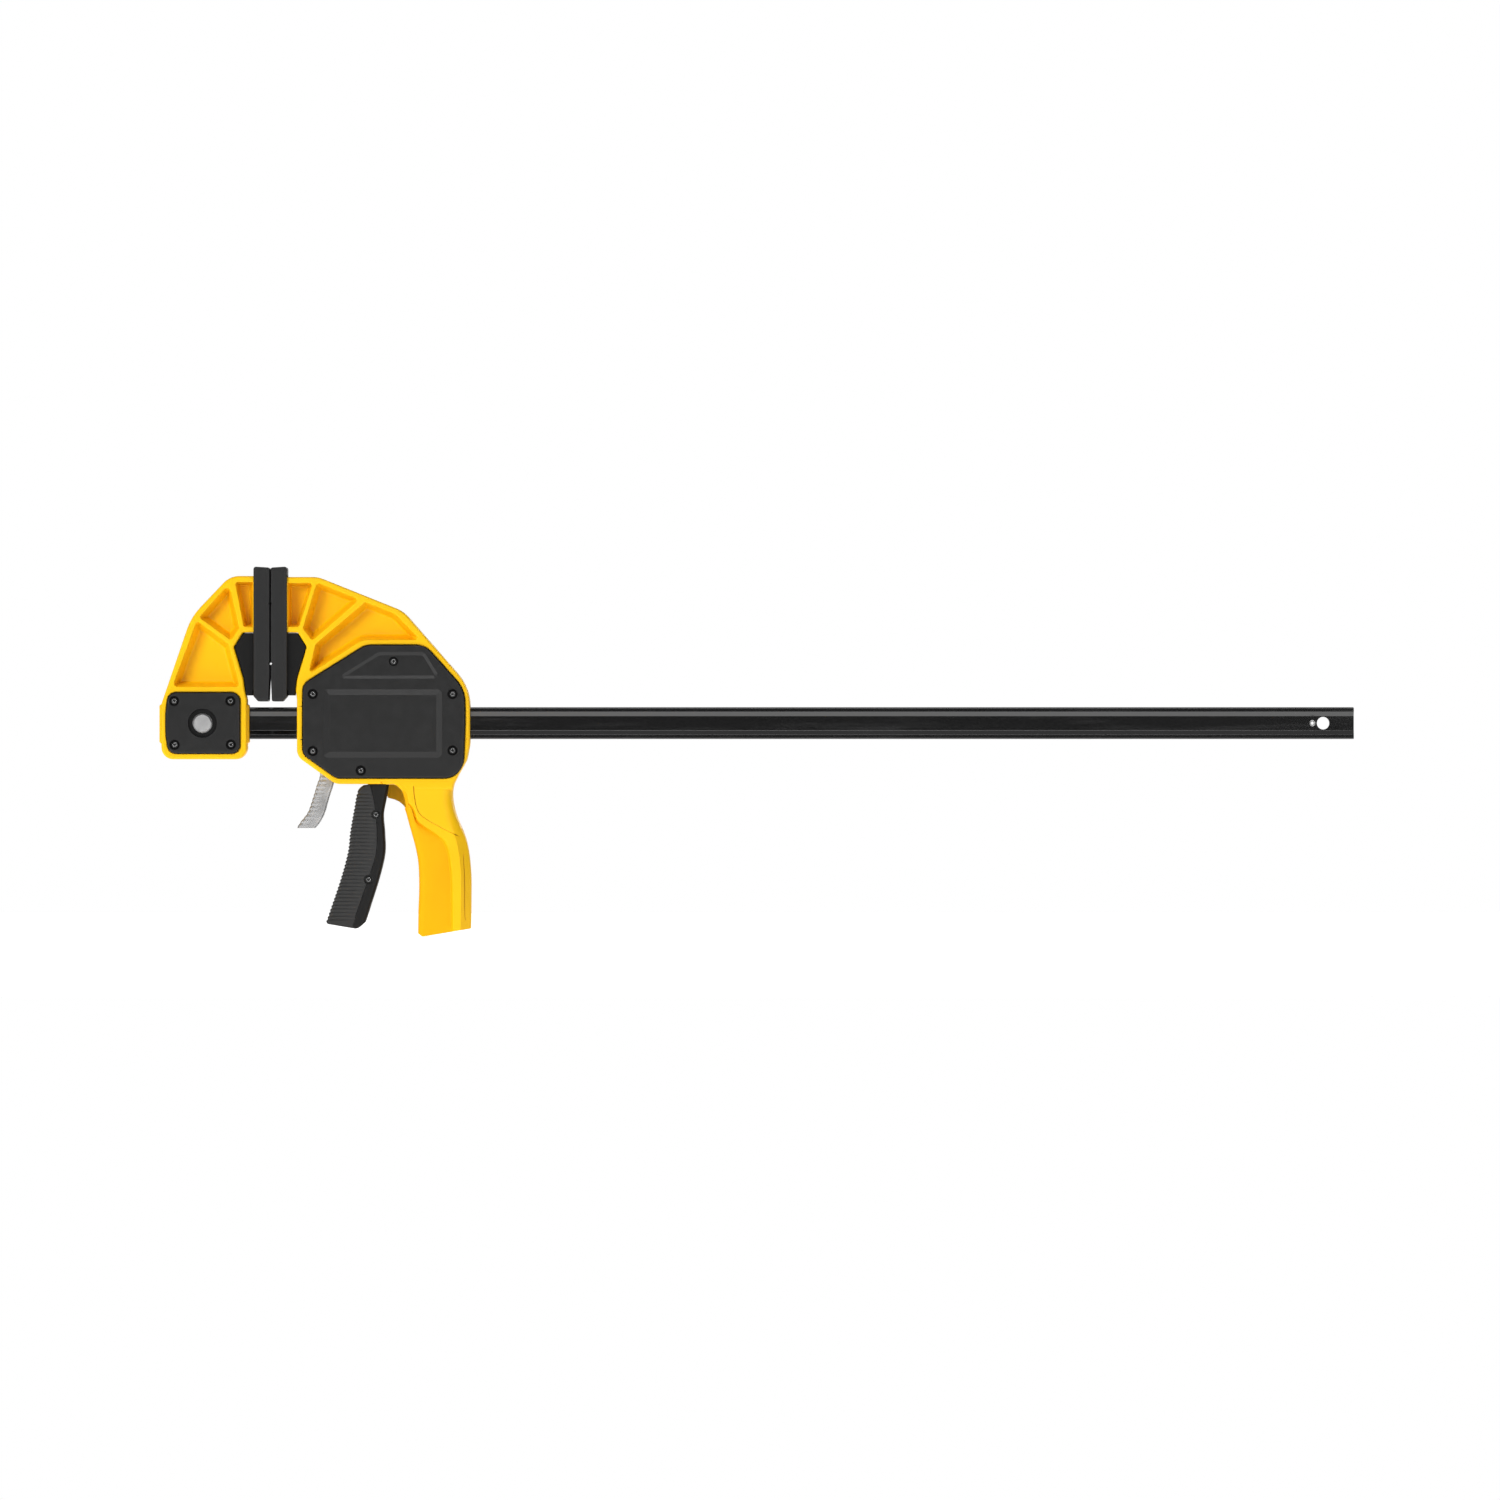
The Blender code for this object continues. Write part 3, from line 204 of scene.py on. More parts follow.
# ---------- outlines
def drawn(corners, inset, step=radians(7), least=0.25):
    """Closed run round corners (x, z[, radius]), drawn in by an inset, its arcs kept open."""
    points = [Vector(corner[:2]) for corner in corners]
    edge = grown(points, -inset)
    count = len(points)
    area = sum(points[n - 1].cross(points[n]) for n in range(count))
    run = []
    for index, corner in enumerate(corners):
        if len(corner) == 2:
            run.append(edge[index])
            continue
        here = points[index]
        before = (points[index - 1] - here).normalized()
        after = (points[(index + 1) % count] - here).normalized()
        outward = before.cross(after) * area < 0
        radius = max(least, corner[2] - inset if outward else corner[2] + inset)
        half = before.angle(after) / 2
        middle = edge[index] + (before + after).normalized() * (radius / sin(half))
        start = edge[index] + before * (radius / tan(half)) - middle
        end = edge[index] + after * (radius / tan(half)) - middle
        turn = pi - 2 * half
        steps = max(2, round(turn / step))
        sign = 1.0 if start.cross(end) > 0 else -1.0
        for number in range(steps + 1):
            run.append(middle + Matrix.Rotation(sign * turn * number / steps, 2) @ start)
    return run


def smooth(points, steps):
    """Catmull-Rom run through the points, ends included."""
    knots = [Vector(point) for point in points]
    knots = [2 * knots[0] - knots[1]] + knots + [2 * knots[-1] - knots[-2]]
    run = []
    for a, b, c, d in zip(knots, knots[1:], knots[2:], knots[3:]):
        for number in range(steps):
            t = number / steps
            run.append(0.5 * (2 * b + (c - a) * t + (2 * a - 5 * b + 4 * c - d) * t * t
                              + (3 * b - a - 3 * c + d) * t * t * t))
    return [tuple(point) for point in run] + [tuple(knots[-2])]


CURVES = {}


def curve_at(points, z):
    """x of a smooth run of (z, x) points at a height z; z falls along the run."""
    key = tuple(points)
    if key not in CURVES:
        run = smooth(points, 12)
        CURVES[key] = ([-place for place, _ in run], run)
    heights, run = CURVES[key]
    after = min(max(1, bisect_left(heights, -z)), len(run) - 1)
    (z0, x0), (z1, x1) = run[after - 1], run[after]
    share = (z0 - z) / (z0 - z1) if z0 > z1 else 0.0
    return x0 + (x1 - x0) * min(1.0, max(0.0, share))


def mirrored(corners):
    """Mirror corners about the clamping plane."""
    return [(2 * CLAMP_PLANE - corner[0], *corner[1:]) for corner in reversed(corners)]


def grown(run, distance):
    """Closed run moved outwards by a distance, or inwards by a negative one."""
    area = sum(a.x * b.y - a.y * b.x for a, b in zip(run, run[1:] + run[:1]))
    side = 1.0 if area > 0 else -1.0
    moved = []
    for before, here, after in zip(run[-1:] + run[:-1], run, run[1:] + run[:1]):
        first = (here - before).normalized()
        second = (after - here).normalized()
        bisector = Vector((first.y + second.y, -first.x - second.x)).normalized() * side
        across = Vector((first.y, -first.x)) * side
        moved.append(here + bisector * (distance / max(0.3, bisector.dot(across))))
    return moved


def arc(steps=ARC_STEPS):
    """Angles from 0 to a quarter turn."""
    return [pi / 2 * n / steps for n in range(steps + 1)]


def sided(levels, side):
    """Levels (y, inset) given for the back, turned over for the front."""
    return levels if side == BACK else [(-y, inset) for y, inset in reversed(levels)]


def edge_round(near, far, radius):
    """(y, inset) levels of a slab with both edges rounded."""
    quarter = [(1 - sin(angle), 1 - cos(angle)) for angle in arc(5)]
    low = [(near + radius * rise, radius * draw) for draw, rise in quarter]
    high = [(far - radius * rise, radius * draw) for draw, rise in reversed(quarter)]
    return low + high


# ---------- solids
def solid(name, rings):
    """Closed mesh object from rings of points of equal count, given in millimetres."""
    work = bmesh.new()
    rows = [[work.verts.new(Vector(point) * MM) for point in ring] for ring in rings]
    for low, high in zip(rows, rows[1:]):
        for index in range(len(low)):
            after = (index + 1) % len(low)
            work.faces.new((low[index], low[after], high[after], high[index]))
    work.faces.new(rows[0])
    work.faces.new(rows[-1])
    bmesh.ops.recalc_face_normals(work, faces=work.faces)
    mesh = bpy.data.meshes.new(name)
    work.to_mesh(mesh)
    work.free()
    made = bpy.data.objects.new(name, mesh)
    bpy.context.scene.collection.objects.link(made)
    return made


def stack(name, corners, levels, spread=0.0):
    """Slab whose outline at each level (y, inset) is drawn in by the inset less the spread."""
    return solid(name, [[(p.x, y, p.y) for p in drawn(corners, inset - spread)]
                        for y, inset in levels])


def straight(near, far):
    """Levels of a cut or a slab that keeps its outline."""
    return [(near, 0.0), (far, 0.0)]


def box(name, x, y, z):
    """Plain box, used to cut."""
    run = [Vector((x[0], z[0])), Vector((x[1], z[0])), Vector((x[1], z[1])),
           Vector((x[0], z[1]))]
    return stack(name, run, straight(*y))


def circle(x, z, radius, sides=48):
    """Round outline."""
    return [Vector((x + radius * cos(2 * pi * n / sides), z + radius * sin(2 * pi * n / sides)))
            for n in range(sides)]


def combine(made, others, operation="DIFFERENCE"):
    """Cut others from a piece, join them to it or keep what both share; others are removed."""
    for other in others:
        step = made.modifiers.new(other.name, "BOOLEAN")
        step.operation = operation
        step.object = other
        step.solver = "EXACT"
    bpy.context.view_layer.update()
    evaluated = made.evaluated_get(bpy.context.evaluated_depsgraph_get())
    mesh = bpy.data.meshes.new_from_object(evaluated)
    if not mesh.polygons:
        raise RuntimeError(f"nothing is left of {made.name}")
    made.modifiers.clear()
    made.data = mesh
    for other in others:
        bpy.data.objects.remove(other, do_unlink=True)
    return made


def pocket_levels(side, surface, draft, fillet):
    """Levels of a pocket cutter: filleted floor, drafted walls and a rounded mouth."""
    levels = [(POCKET_FLOOR + fillet * (1 - cos(angle)), draft + fillet * (1 - sin(angle)))
              for angle in arc(4)]
    levels += [(surface - POCKET_LIP * (1 - sin(angle)), -POCKET_LIP * (1 - cos(angle)))
               for angle in arc(4)]
    levels.append((surface + BEYOND, -POCKET_LIP))
    return sided(levels, side)


def dress(made, look, body, slot_name, *nodes, sharp=34, weighted=True):
    """Finish a piece: shading, material, its body, the nodes it stands for; slot_name isn't used.
    """
    made.data.materials.clear()
    made.data.materials.append(look)
    made.data.shade_smooth()
    made.data.set_sharp_from_angle(angle=radians(sharp))
    if weighted:
        normals = made.modifiers.new("normals", "WEIGHTED_NORMAL")
        normals.keep_sharp = True
        normals.weight = 80
    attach(made, body)
    if nodes:
        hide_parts(*nodes)


# ---------- materials
EVEN = (1.0, 1.0, 1.0)


class Nodes:
    """Shorthand for building a material's node tree."""

    def __init__(self, name):
        self.material = bpy.data.materials.new(name)
        self.material.use_nodes = True
        self.tree = self.material.node_tree
        self.shader = self.tree.nodes["Principled BSDF"]
        self.place = self.tree.nodes.new("ShaderNodeTexCoord").outputs["Object"]

    def add(self, kind, **values):
        """New node with some of its sockets or settings set."""
        node = self.tree.nodes.new(kind)
        for key, value in values.items():
            if key in node.inputs:
                node.inputs[key].default_value = value
            else:
                setattr(node, key, value)
        return node

    def link(self, out, into):
        """Join two sockets."""
        self.tree.links.new(out, into)

    def noise(self, scale, detail=3.0, stretch=EVEN, roughness=0.5):
        """Noise of a scale in features per metre, stretched along the axes."""
        mapping = self.add("ShaderNodeMapping", Scale=stretch)
        self.link(self.place, mapping.inputs["Vector"])
        noise = self.add("ShaderNodeTexNoise", Scale=scale, Detail=detail, Roughness=roughness)
        self.link(mapping.outputs["Vector"], noise.inputs["Vector"])
        return noise.outputs["Fac"]

    def mapped(self, factor, **limits):
        """Factor mapped from one range to another; both are 0..1 unless given."""
        node = self.add("ShaderNodeMapRange", **limits)
        self.link(factor, node.inputs["Value"])
        return node.outputs["Result"]

    def ramp(self, factor, low, high):
        """Factor stretched from low..high to 0..1."""
        return self.mapped(factor, **{"From Min": low, "From Max": high})

    def span(self, factor, low, high):
        """Factor 0..1 mapped to low..high."""
        return self.mapped(factor, **{"To Min": low, "To Max": high})

    def blend(self, factor, first, second):
        """Colour that goes from first to second; each is a colour or a socket."""
        node = self.add("ShaderNodeMix", data_type="RGBA")
        self.link(factor, node.inputs["Factor"])
        for socket, value in ((node.inputs[6], first), (node.inputs[7], second)):
            if isinstance(value, tuple):
                socket.default_value = (*value, 1.0)
            else:
                self.link(value, socket)
        return node.outputs[2]

    def bump(self, height, strength, distance, normal=None):
        """Bump from a height, on top of another normal."""
        node = self.add("ShaderNodeBump", Strength=strength, Distance=distance)
        self.link(height, node.inputs["Height"])
        if normal:
            self.link(normal, node.inputs["Normal"])
        return node.outputs["Normal"]

    def wear(self, radius=0.0006):
        """1 along edges of a piece and 0 on its flats."""
        soft = self.add("ShaderNodeBevel", samples=4, Radius=radius)
        true = self.add("ShaderNodeNewGeometry").outputs["Normal"]
        facing = self.add("ShaderNodeVectorMath", operation="DOT_PRODUCT")
        self.link(soft.outputs["Normal"], facing.inputs[0])
        self.link(true, facing.inputs[1])
        return self.ramp(facing.outputs["Value"], 0.995, 0.9)


def moulded(name, colour, edge, roughness, specular, grain=1500.0, depth=0.00004):
    """Moulded plastic with a fine spark-eroded grain, slight mottling and rubbed edges."""
    nodes = Nodes(name)
    shader = nodes.shader
    mottle = nodes.ramp(nodes.noise(28.0, 4.0), 0.35, 0.7)
    darker = tuple(channel * 0.93 for channel in colour)
    body = nodes.blend(mottle, colour, darker)
    scuff = nodes.ramp(nodes.noise(160.0, 5.0, roughness=0.7), 0.45, 0.75)
    rubbed = nodes.add("ShaderNodeMath", operation="MULTIPLY")
    nodes.link(nodes.wear(), rubbed.inputs[0])
    nodes.link(nodes.span(scuff, 0.35, 1.0), rubbed.inputs[1])
    nodes.link(nodes.blend(rubbed.outputs[0], body, edge), shader.inputs["Base Color"])
    nodes.link(nodes.span(scuff, roughness - 0.05, roughness + 0.06),
               shader.inputs["Roughness"])
    fine = nodes.noise(grain, 2.0)
    soft = nodes.noise(grain / 12, 2.0)
    normal = nodes.bump(soft, 0.12, depth * 2)
    nodes.link(nodes.bump(fine, 0.35, depth, normal), shader.inputs["Normal"])
    shader.inputs["Specular IOR Level"].default_value = specular
    return nodes.material


def metal(name, colour, roughness, stretch, grain=900.0, depth=0.00002, metallic=1.0):
    """Metal with fine marks, longer along an axis of small stretch, and uneven dulling."""
    nodes = Nodes(name)
    shader = nodes.shader
    marks = nodes.noise(grain, 3.0, stretch)
    dull = nodes.ramp(nodes.noise(90.0, 4.0), 0.35, 0.7)
    darker = tuple(channel * 0.72 for channel in colour)
    nodes.link(nodes.blend(dull, colour, darker), shader.inputs["Base Color"])
    nodes.link(nodes.span(marks, roughness - 0.08, roughness + 0.1),
               shader.inputs["Roughness"])
    nodes.link(nodes.bump(marks, 0.4, depth), shader.inputs["Normal"])
    shader.inputs["Metallic"].default_value = metallic
    return nodes.material


def oxide(name, colour, edge, roughness):
    """Blackened steel, rubbed bright along its edges."""
    nodes = Nodes(name)
    shader = nodes.shader
    dull = nodes.ramp(nodes.noise(400.0, 3.0), 0.35, 0.7)
    lighter = tuple(channel * 1.8 for channel in colour)
    body = nodes.blend(dull, colour, lighter)
    nodes.link(nodes.blend(nodes.wear(0.0003), body, edge), shader.inputs["Base Color"])
    nodes.link(nodes.span(dull, roughness - 0.06, roughness + 0.1), shader.inputs["Roughness"])
    nodes.link(nodes.bump(nodes.noise(1600.0, 2.0), 0.3, 0.00002), shader.inputs["Normal"])
    shader.inputs["Metallic"].default_value = 0.9
    return nodes.material


def paint(name, colour, roughness):
    """Glossy paint with orange peel and faint handling scuffs along X."""
    nodes = Nodes(name)
    shader = nodes.shader
    scuff = nodes.ramp(nodes.noise(220.0, 6.0, (0.06, 1.0, 1.0), 0.65), 0.5, 0.8)
    lighter = tuple(channel * 1.4 + 0.0008 for channel in colour)
    nodes.link(nodes.blend(scuff, colour, lighter), shader.inputs["Base Color"])
    nodes.link(nodes.span(scuff, roughness, roughness + 0.14), shader.inputs["Roughness"])
    nodes.link(nodes.bump(nodes.noise(400.0, 1.0), 0.03, 0.00002), shader.inputs["Normal"])
    shader.inputs["Specular IOR Level"].default_value = 0.6
    shader.inputs["Coat Weight"].default_value = 0.9
    shader.inputs["Coat IOR"].default_value = 1.6
    shader.inputs["Coat Roughness"].default_value = 0.12
    return nodes.material


def grey(tone):
    """Neutral colour."""
    return tone, tone, tone


YELLOW = moulded("yellow_nylon", (0.95, 0.54, 0.004), (1.0, 0.62, 0.03), 0.42, 0.2)
# Matt grain for the grip's sunk front; its darker yellow is painted shade
YELLOW_MATT_SHADED = moulded("yellow_nylon_matt_painted_shade", (0.92, 0.455, 0.003), (0.98, 0.55, 0.02), 0.6, 0.1,
                      grain=900.0, depth=0.00007)
BLACK = moulded("black_nylon", grey(0.014), grey(0.04), 0.36, 0.4)
# Painted light: a lighter black for cover slopes that face up or rearwards
LIT_SLOPE_BLACK = moulded("painted_lit_slope_nylon", grey(0.021), grey(0.045), 0.36, 0.4)
GRIP = moulded("grip_nylon", grey(0.025), grey(0.05), 0.45, 0.35, grain=1200.0)
BAND = moulded("grip_band_nylon", grey(0.009), grey(0.03), 0.5, 0.22)
# Real liners and bar guides, and painted shade on cover rims, seat floors and trigger edges
LINER_AND_SHADE_BLACK = moulded("liner_and_painted_shade_nylon", grey(0.006), grey(0.015), 0.6, 0.2)
RUBBER = moulded("pad_rubber", grey(0.016), grey(0.035), 0.55, 0.3, grain=2200.0)
PAINT = paint("bar_paint", (0.002, 0.002, 0.0021), 0.16)
BUTTON_STEEL = metal("button_steel", grey(0.62), 0.45, EVEN)
PIN_STEEL = metal("pin_steel", (0.55, 0.55, 0.54), 0.3, (1.0, 0.05, 1.0))
PLATE_STEEL = metal("plate_steel", (0.4, 0.4, 0.41), 0.36, (0.05, 1.0, 1.0))
SPRING_STEEL = metal("spring_steel", (0.5, 0.5, 0.51), 0.28, EVEN, grain=1400.0)
CORE_STEEL = metal("core_steel", (0.3, 0.3, 0.31), 0.4, (1.0, 0.1, 1.0))
ZINC = metal("cast_zinc", grey(0.5), 0.44, EVEN, grain=700.0, depth=0.00005, metallic=0.75)
SCREW_BLACK = oxide("screw_oxide", grey(0.035), grey(0.9), 0.28)


# ---------- places
def centre(node):
    """Middle (x, z) of a node's box, in millimetres."""
    low, high = (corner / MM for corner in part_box(node))
    return round((low.x + high.x) / 2, 3), round((low.z + high.z) / 2, 3)


HEAD_SCREWS = [centre(f"fixed_jaw_screw_{number}") for number in range(1, 5)]
BODY_SCREWS = [centre(f"body_screw_{number}") for number in range(1, 7)]
TRIGGER_SCREWS = [centre(f"trigger_screw_{number}") for number in range(1, 3)]


# ---------- bar
def make_bar():
    """I-section with rolled corners, its hanging hole and the stop pin's hole."""
    low, high = (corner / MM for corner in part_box("bar"))
    top = high.z
    flange = high.y
    shoulder, root, web = 7.9, 5.0, 2.8
    quarter = [(flange, top, 0.9), (flange, shoulder, 0.4), (web, root, 0.6)]
    right = quarter + [(y, -z, radius) for y, z, radius in reversed(quarter)]
    section = right + [(-y, z, radius) for y, z, radius in reversed(right)]
    bevel = 0.3
    levels = [(low.x, bevel), (low.x + bevel, 0.0), (high.x - bevel, 0.0), (high.x, bevel)]
    bar = solid("bar_beam", [[(x, p.x, p.y) for p in drawn(section, inset, radians(11))]
                             for x, inset in levels])
    reach, lip, tiny = 6.0, 0.2, 0.01
    hole_levels = [(-reach, -lip), (-web - tiny, -lip), (-web + lip, 0.0), (web - lip, 0.0),
                   (web + tiny, -lip), (reach, -lip)]
    openings = {gap["name"]: gap["box_m"] for gap in frame["record"]["physics"]["openings"]}
    near, far = openings["hang_hole"]
    hole_x = round((near[0] + far[0]) / 2 / MM, 3)
    pin_x = centre("bar_stop_pin")[0]
    button_x = centre("release_button")[0]
    neck = 1.6
    cutters = [stack("hang", circle(hole_x, 0.0, HANG_RADIUS), hole_levels),
               stack("stop", circle(pin_x, 0.0, STOP_RADIUS, 32), hole_levels),
               stack("lock", circle(button_x, 0.0, LOCK_RADIUS, 32), hole_levels),
               box("neck", (low.x - 2, button_x), (-reach, reach), (-neck, neck))]
    combine(bar, cutters)
    dress(bar, PAINT, "bar_and_fixed_jaw", "painted_bar", "bar")


# ---------- mouldings
def pocket_cutters(name, outlines, surface):
    """Cutters for a jaw's ribbed pockets, both sides."""
    return [stack(f"{name}_{number}_{side}", corners,
                  pocket_levels(side, surface, draft, fillet))
            for number, ((draft, fillet), corners) in enumerate(outlines)
            for side in (FRONT, BACK)]


def recess_cutters(name, corners, surface):
    """Cutters for a cover's seat, both sides, with a small rounded lip."""
    levels = [(surface - COVER_SEAT, 0.0), (surface - 0.4, 0.0), (surface - 0.12, -0.12),
              (surface, -0.4), (surface + BEYOND, -0.4)]
    return [stack(f"{name}_{side}", corners, sided(levels, side), SEAT_SPARE)
            for side in (FRONT, BACK)]


def screw_ways(name, screws, surface):
    """Cutters for the screws' holes and the back bosses' sockets."""
    socket_floor = 7.5
    cutters = []
    for number, (x, z) in enumerate(screws):
        cutters.append(stack(f"{name}_way_{number}", circle(x, z, SCREW_WAY, 16),
                             straight(-surface - BEYOND, surface)))
        cutters.append(stack(f"{name}_socket_{number}", circle(x, z, BOSS_SOCKET, 20),
                             straight(socket_floor, surface + BEYOND)))
    return cutters


def make_fixed_jaw():
    """Ribbed jaw moulding with the collar round the bar's socket."""
    low, high = (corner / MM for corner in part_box("fixed_jaw_body"))
    half = high.y
    jaw = stack("fixed_jaw_moulding", FIXED_JAW, edge_round(-half, half, RIM_RADIUS))
    collar_run = [(x, z, COLLAR_CORNER) for x, z in (
        (low.x, COLLAR_LOW), (COLLAR_END, COLLAR_LOW), (COLLAR_END, COLLAR_TOP),
        (low.x, COLLAR_TOP))]
    collar = stack("collar", collar_run, edge_round(-COLLAR_HALF, COLLAR_HALF, COLLAR_EDGE))
    combine(jaw, [collar], "UNION")
    cutters = pocket_cutters("pocket", FIXED_POCKETS, half)
    cutters += recess_cutters("head_seat", HEAD_COVER, half)
    cutters.append(box("socket", *SOCKET))
    cutters.append(box("chamber", BUTTON_CHAMBER_X, (-half + SKIN, half - SKIN),
                       BUTTON_CHAMBER_Z))
    cutters += screw_ways("head", HEAD_SCREWS, half)
    combine(jaw, cutters)
    dress(jaw, YELLOW, "bar_and_fixed_jaw", "yellow_moulding", "fixed_jaw_body")


def grown_in(z, top, length):
    """0 above the height top, rising steadily to 1 a length below it."""
    return min(1.0, max(0.0, (-z + top) / length))


def handle_section(z):
    """Half section of the pistol grip at a height: (x, half width) from front to rear."""
    front = curve_at(HANDLE_FRONT, z)
    rear = curve_at(HANDLE_REAR, z)
    ridge = min(curve_at(HANDLE_RIDGE, z), rear - REAR_ROUND)
    wide = GRIP_HALF - GRIP_TAPER * grown_in(z, TAPER_TOP, TAPER_LENGTH)
    sunk = grown_in(z, SUNK_TOP, SUNK_LENGTH)
    panel = wide - FRONT_SUNK * sunk
    deep = wide - RIDGE_SUNK * sunk
    slope = grown_in(z, SLOPE_TOP, SLOPE_LENGTH)
    # The rear slope: five steps of 45 degrees, then a small round into the rear
    step = 1.2
    sloped = [(rear - 7.0 + step * n, wide - step * n) for n in range(1, 6)]
    sloped += [(rear - 0.5, wide - 6.6), (rear - 0.12, wide - 7.2), (rear, wide - 8.0)]
    shares = [n / ARC_STEPS for n in range(1, ARC_STEPS + 1)]
    points = [(front, 0.0), (front, panel - FRONT_ROUND)]
    for angle in arc()[1:]:
        points.append((front + FRONT_ROUND * (1 - cos(angle)),
                       panel - FRONT_ROUND + FRONT_ROUND * sin(angle)))
    start = front + FRONT_ROUND
    reach = max(ridge - 1.6, start + 0.4)
    for share in shares:
        points.append((start + (reach - start) * share, panel + (deep - panel) * share ** 1.6))
    for share in shares:
        rise = (1 - cos(pi * share)) / 2
        points.append((reach + FLANK * share, deep + (wide - deep) * rise))
    start = reach + FLANK
    end = max(rear - REAR_ROUND + slope, start + 1.0)
    for share in shares:
        points.append((start + (end - start) * share, wide))
    for angle, (x, y) in zip(arc()[1:], sloped):
        points.append(((1 - slope) * (end + (rear - end) * sin(angle)) + slope * x,
                       (1 - slope) * (wide - REAR_ROUND * (1 - cos(angle))) + slope * y))
    points.append((rear, 0.0))
    return points


def make_handle():
    """Pistol grip lofted down its length, and the cutter of its front cheek's hollow."""
    rings = []
    for number in range(GRIP_RINGS):
        z = GRIP_TOP - GRIP_STEP * number
        half = handle_section(z)
        rings.append([(x, -y, z) for x, y in half]
                     + [(x, y, z) for x, y in reversed(half[1:-1])])
    grip = solid("grip_form", rings)
    scoop = stack("scoop", SCOOP, SCOOP_LEVELS)
    end = stack("foot_form", GRIP_FOOT,
                [(-y, inset) for y, inset in GRIP_EDGE] + GRIP_EDGE[::-1])
    return combine(grip, [end], "INTERSECT"), scoop


def groove(name, points, side, surface, depth):
    """Thin cutter that follows a smooth run of (x, z) points on one side's surface."""
    run = [Vector(point) for point in smooth(points, 5)]
    left = []
    right = []
    for before, here, after in zip([run[0]] + run[:-1], run, run[1:] + [run[-1]]):
        along = (after - before).normalized()
        across = Vector((-along.y, along.x)) * GROOVE_WIDTH / 2
        left.append(here + across)
        right.append(here - across)
    levels = [(surface - depth, GROOVE_WIDTH * 0.35), (surface + 1.5, 0.0)]
    return stack(name, left + right[::-1], sided(levels, side))


def make_body():
    """Sliding moulding: ribbed jaw, mechanism housing and pistol grip."""
    _, high = (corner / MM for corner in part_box("main_body"))
    half = high.y
    outline = [(82.3, 62.5)] + mirrored(THROAT)[:-1] + BODY_TAIL
    body = stack("sliding_moulding", outline, edge_round(-half, half, RIM_RADIUS))
    grip, scoop = make_handle()
    combine(body, [grip], "UNION")
    cutters = [scoop] + pocket_cutters("body_pocket", BODY_POCKETS, half)
    cutters += recess_cutters("body_seat", BODY_COVER, half)
    deep = (-half + SKIN, half - SKIN)
    cutters += [
        box("passage", *PASSAGE),
        box("mechanism", CHAMBER_X, deep, CHAMBER_Z),
        box("trigger_bay", TRIGGER_BAY_X, deep, TRIGGER_BAY_Z),
        box("brake_notch", *BRAKE_NOTCH),
        stack("lever_bay", LEVER_BAY, straight(*deep)),
        stack("lever_slot", LEVER_SLOT, straight(-LEVER_SLOT_HALF, LEVER_SLOT_HALF)),
        stack("trigger_slot", TRIGGER_SLOT, straight(-TRIGGER_SLOT_HALF, TRIGGER_SLOT_HALF))]
    cutters += screw_ways("body", BODY_SCREWS, half)
    for side in (FRONT, BACK):
        for name, points, surface, depth in GROOVES:
            cutters.append(groove(f"{name}_{side}", points, side, surface, depth))
        for number, (x, z) in enumerate(MARKS):
            across = sorted((side * (half - MARK_DEPTH), side * (half + BEYOND)))
            cutters.append(box(f"mark_{side}_{number}", (x - MARK_LEFT, x + MARK_RIGHT),
                               across, (z - MARK_HALF, z + MARK_HALF)))
    combine(body, cutters)
    dress(body, YELLOW, "sliding_jaw", "yellow_moulding", "main_body")
    # The grip's sunk front: matt, and darker with painted shade
    body.data.materials.append(YELLOW_MATT_SHADED)
    for face in body.data.polygons:
        middle = face.center / MM
        if middle.z < MATT_TOP and middle.x < curve_at(HANDLE_RIDGE, middle.z) - 0.4:
            face.material_index = 1


# ---------- covers
def cover_form(name, corners, side, outer):
    """Cover slab with a chamfered and rounded outer edge."""
    levels = [(outer - COVER_THICKNESS, 0.0), (outer - 1.4, 0.0), (outer - 0.85, 0.12),
              (outer - 0.25, 0.68), (outer, 1.2)]
    return stack(name, corners, sided(levels, side))


def seat_levels(outer, lip, depth):
    """Levels of a round seat in a front face, its mouth chamfered by the lip."""
    return [(-outer - BEYOND, -lip), (-outer, -lip), (-outer + lip, 0.0), (-outer + depth, 0.0)]


def seats(name, screws, outer):
    """Cutters for the screws' seats and holes in a front cover."""
    cutters = []
    for number, (x, z) in enumerate(screws):
        cutters.append(stack(f"{name}_seat_{number}", circle(x, z, SCREW_SEAT, 40),
                             seat_levels(outer, SEAT_LIP, SEAT_DEPTH)))
        cutters.append(stack(f"{name}_hole_{number}", circle(x, z, SCREW_WAY, 20),
                             straight(-outer - BEYOND, -outer + HOLE_DEPTH)))
    return cutters


def panel_levels(side, base, face, slope):
    """Levels of a panel that rises from base to face over a slope."""
    levels = [(base - 0.4, -0.2), (base, 0.0), (base + (face - base) * 0.25, slope * 0.12),
              (base + (face - base) * 0.75, slope * 0.88), (face - 0.005, slope),
              (face, slope + 0.4)]
    return sided(levels, side)


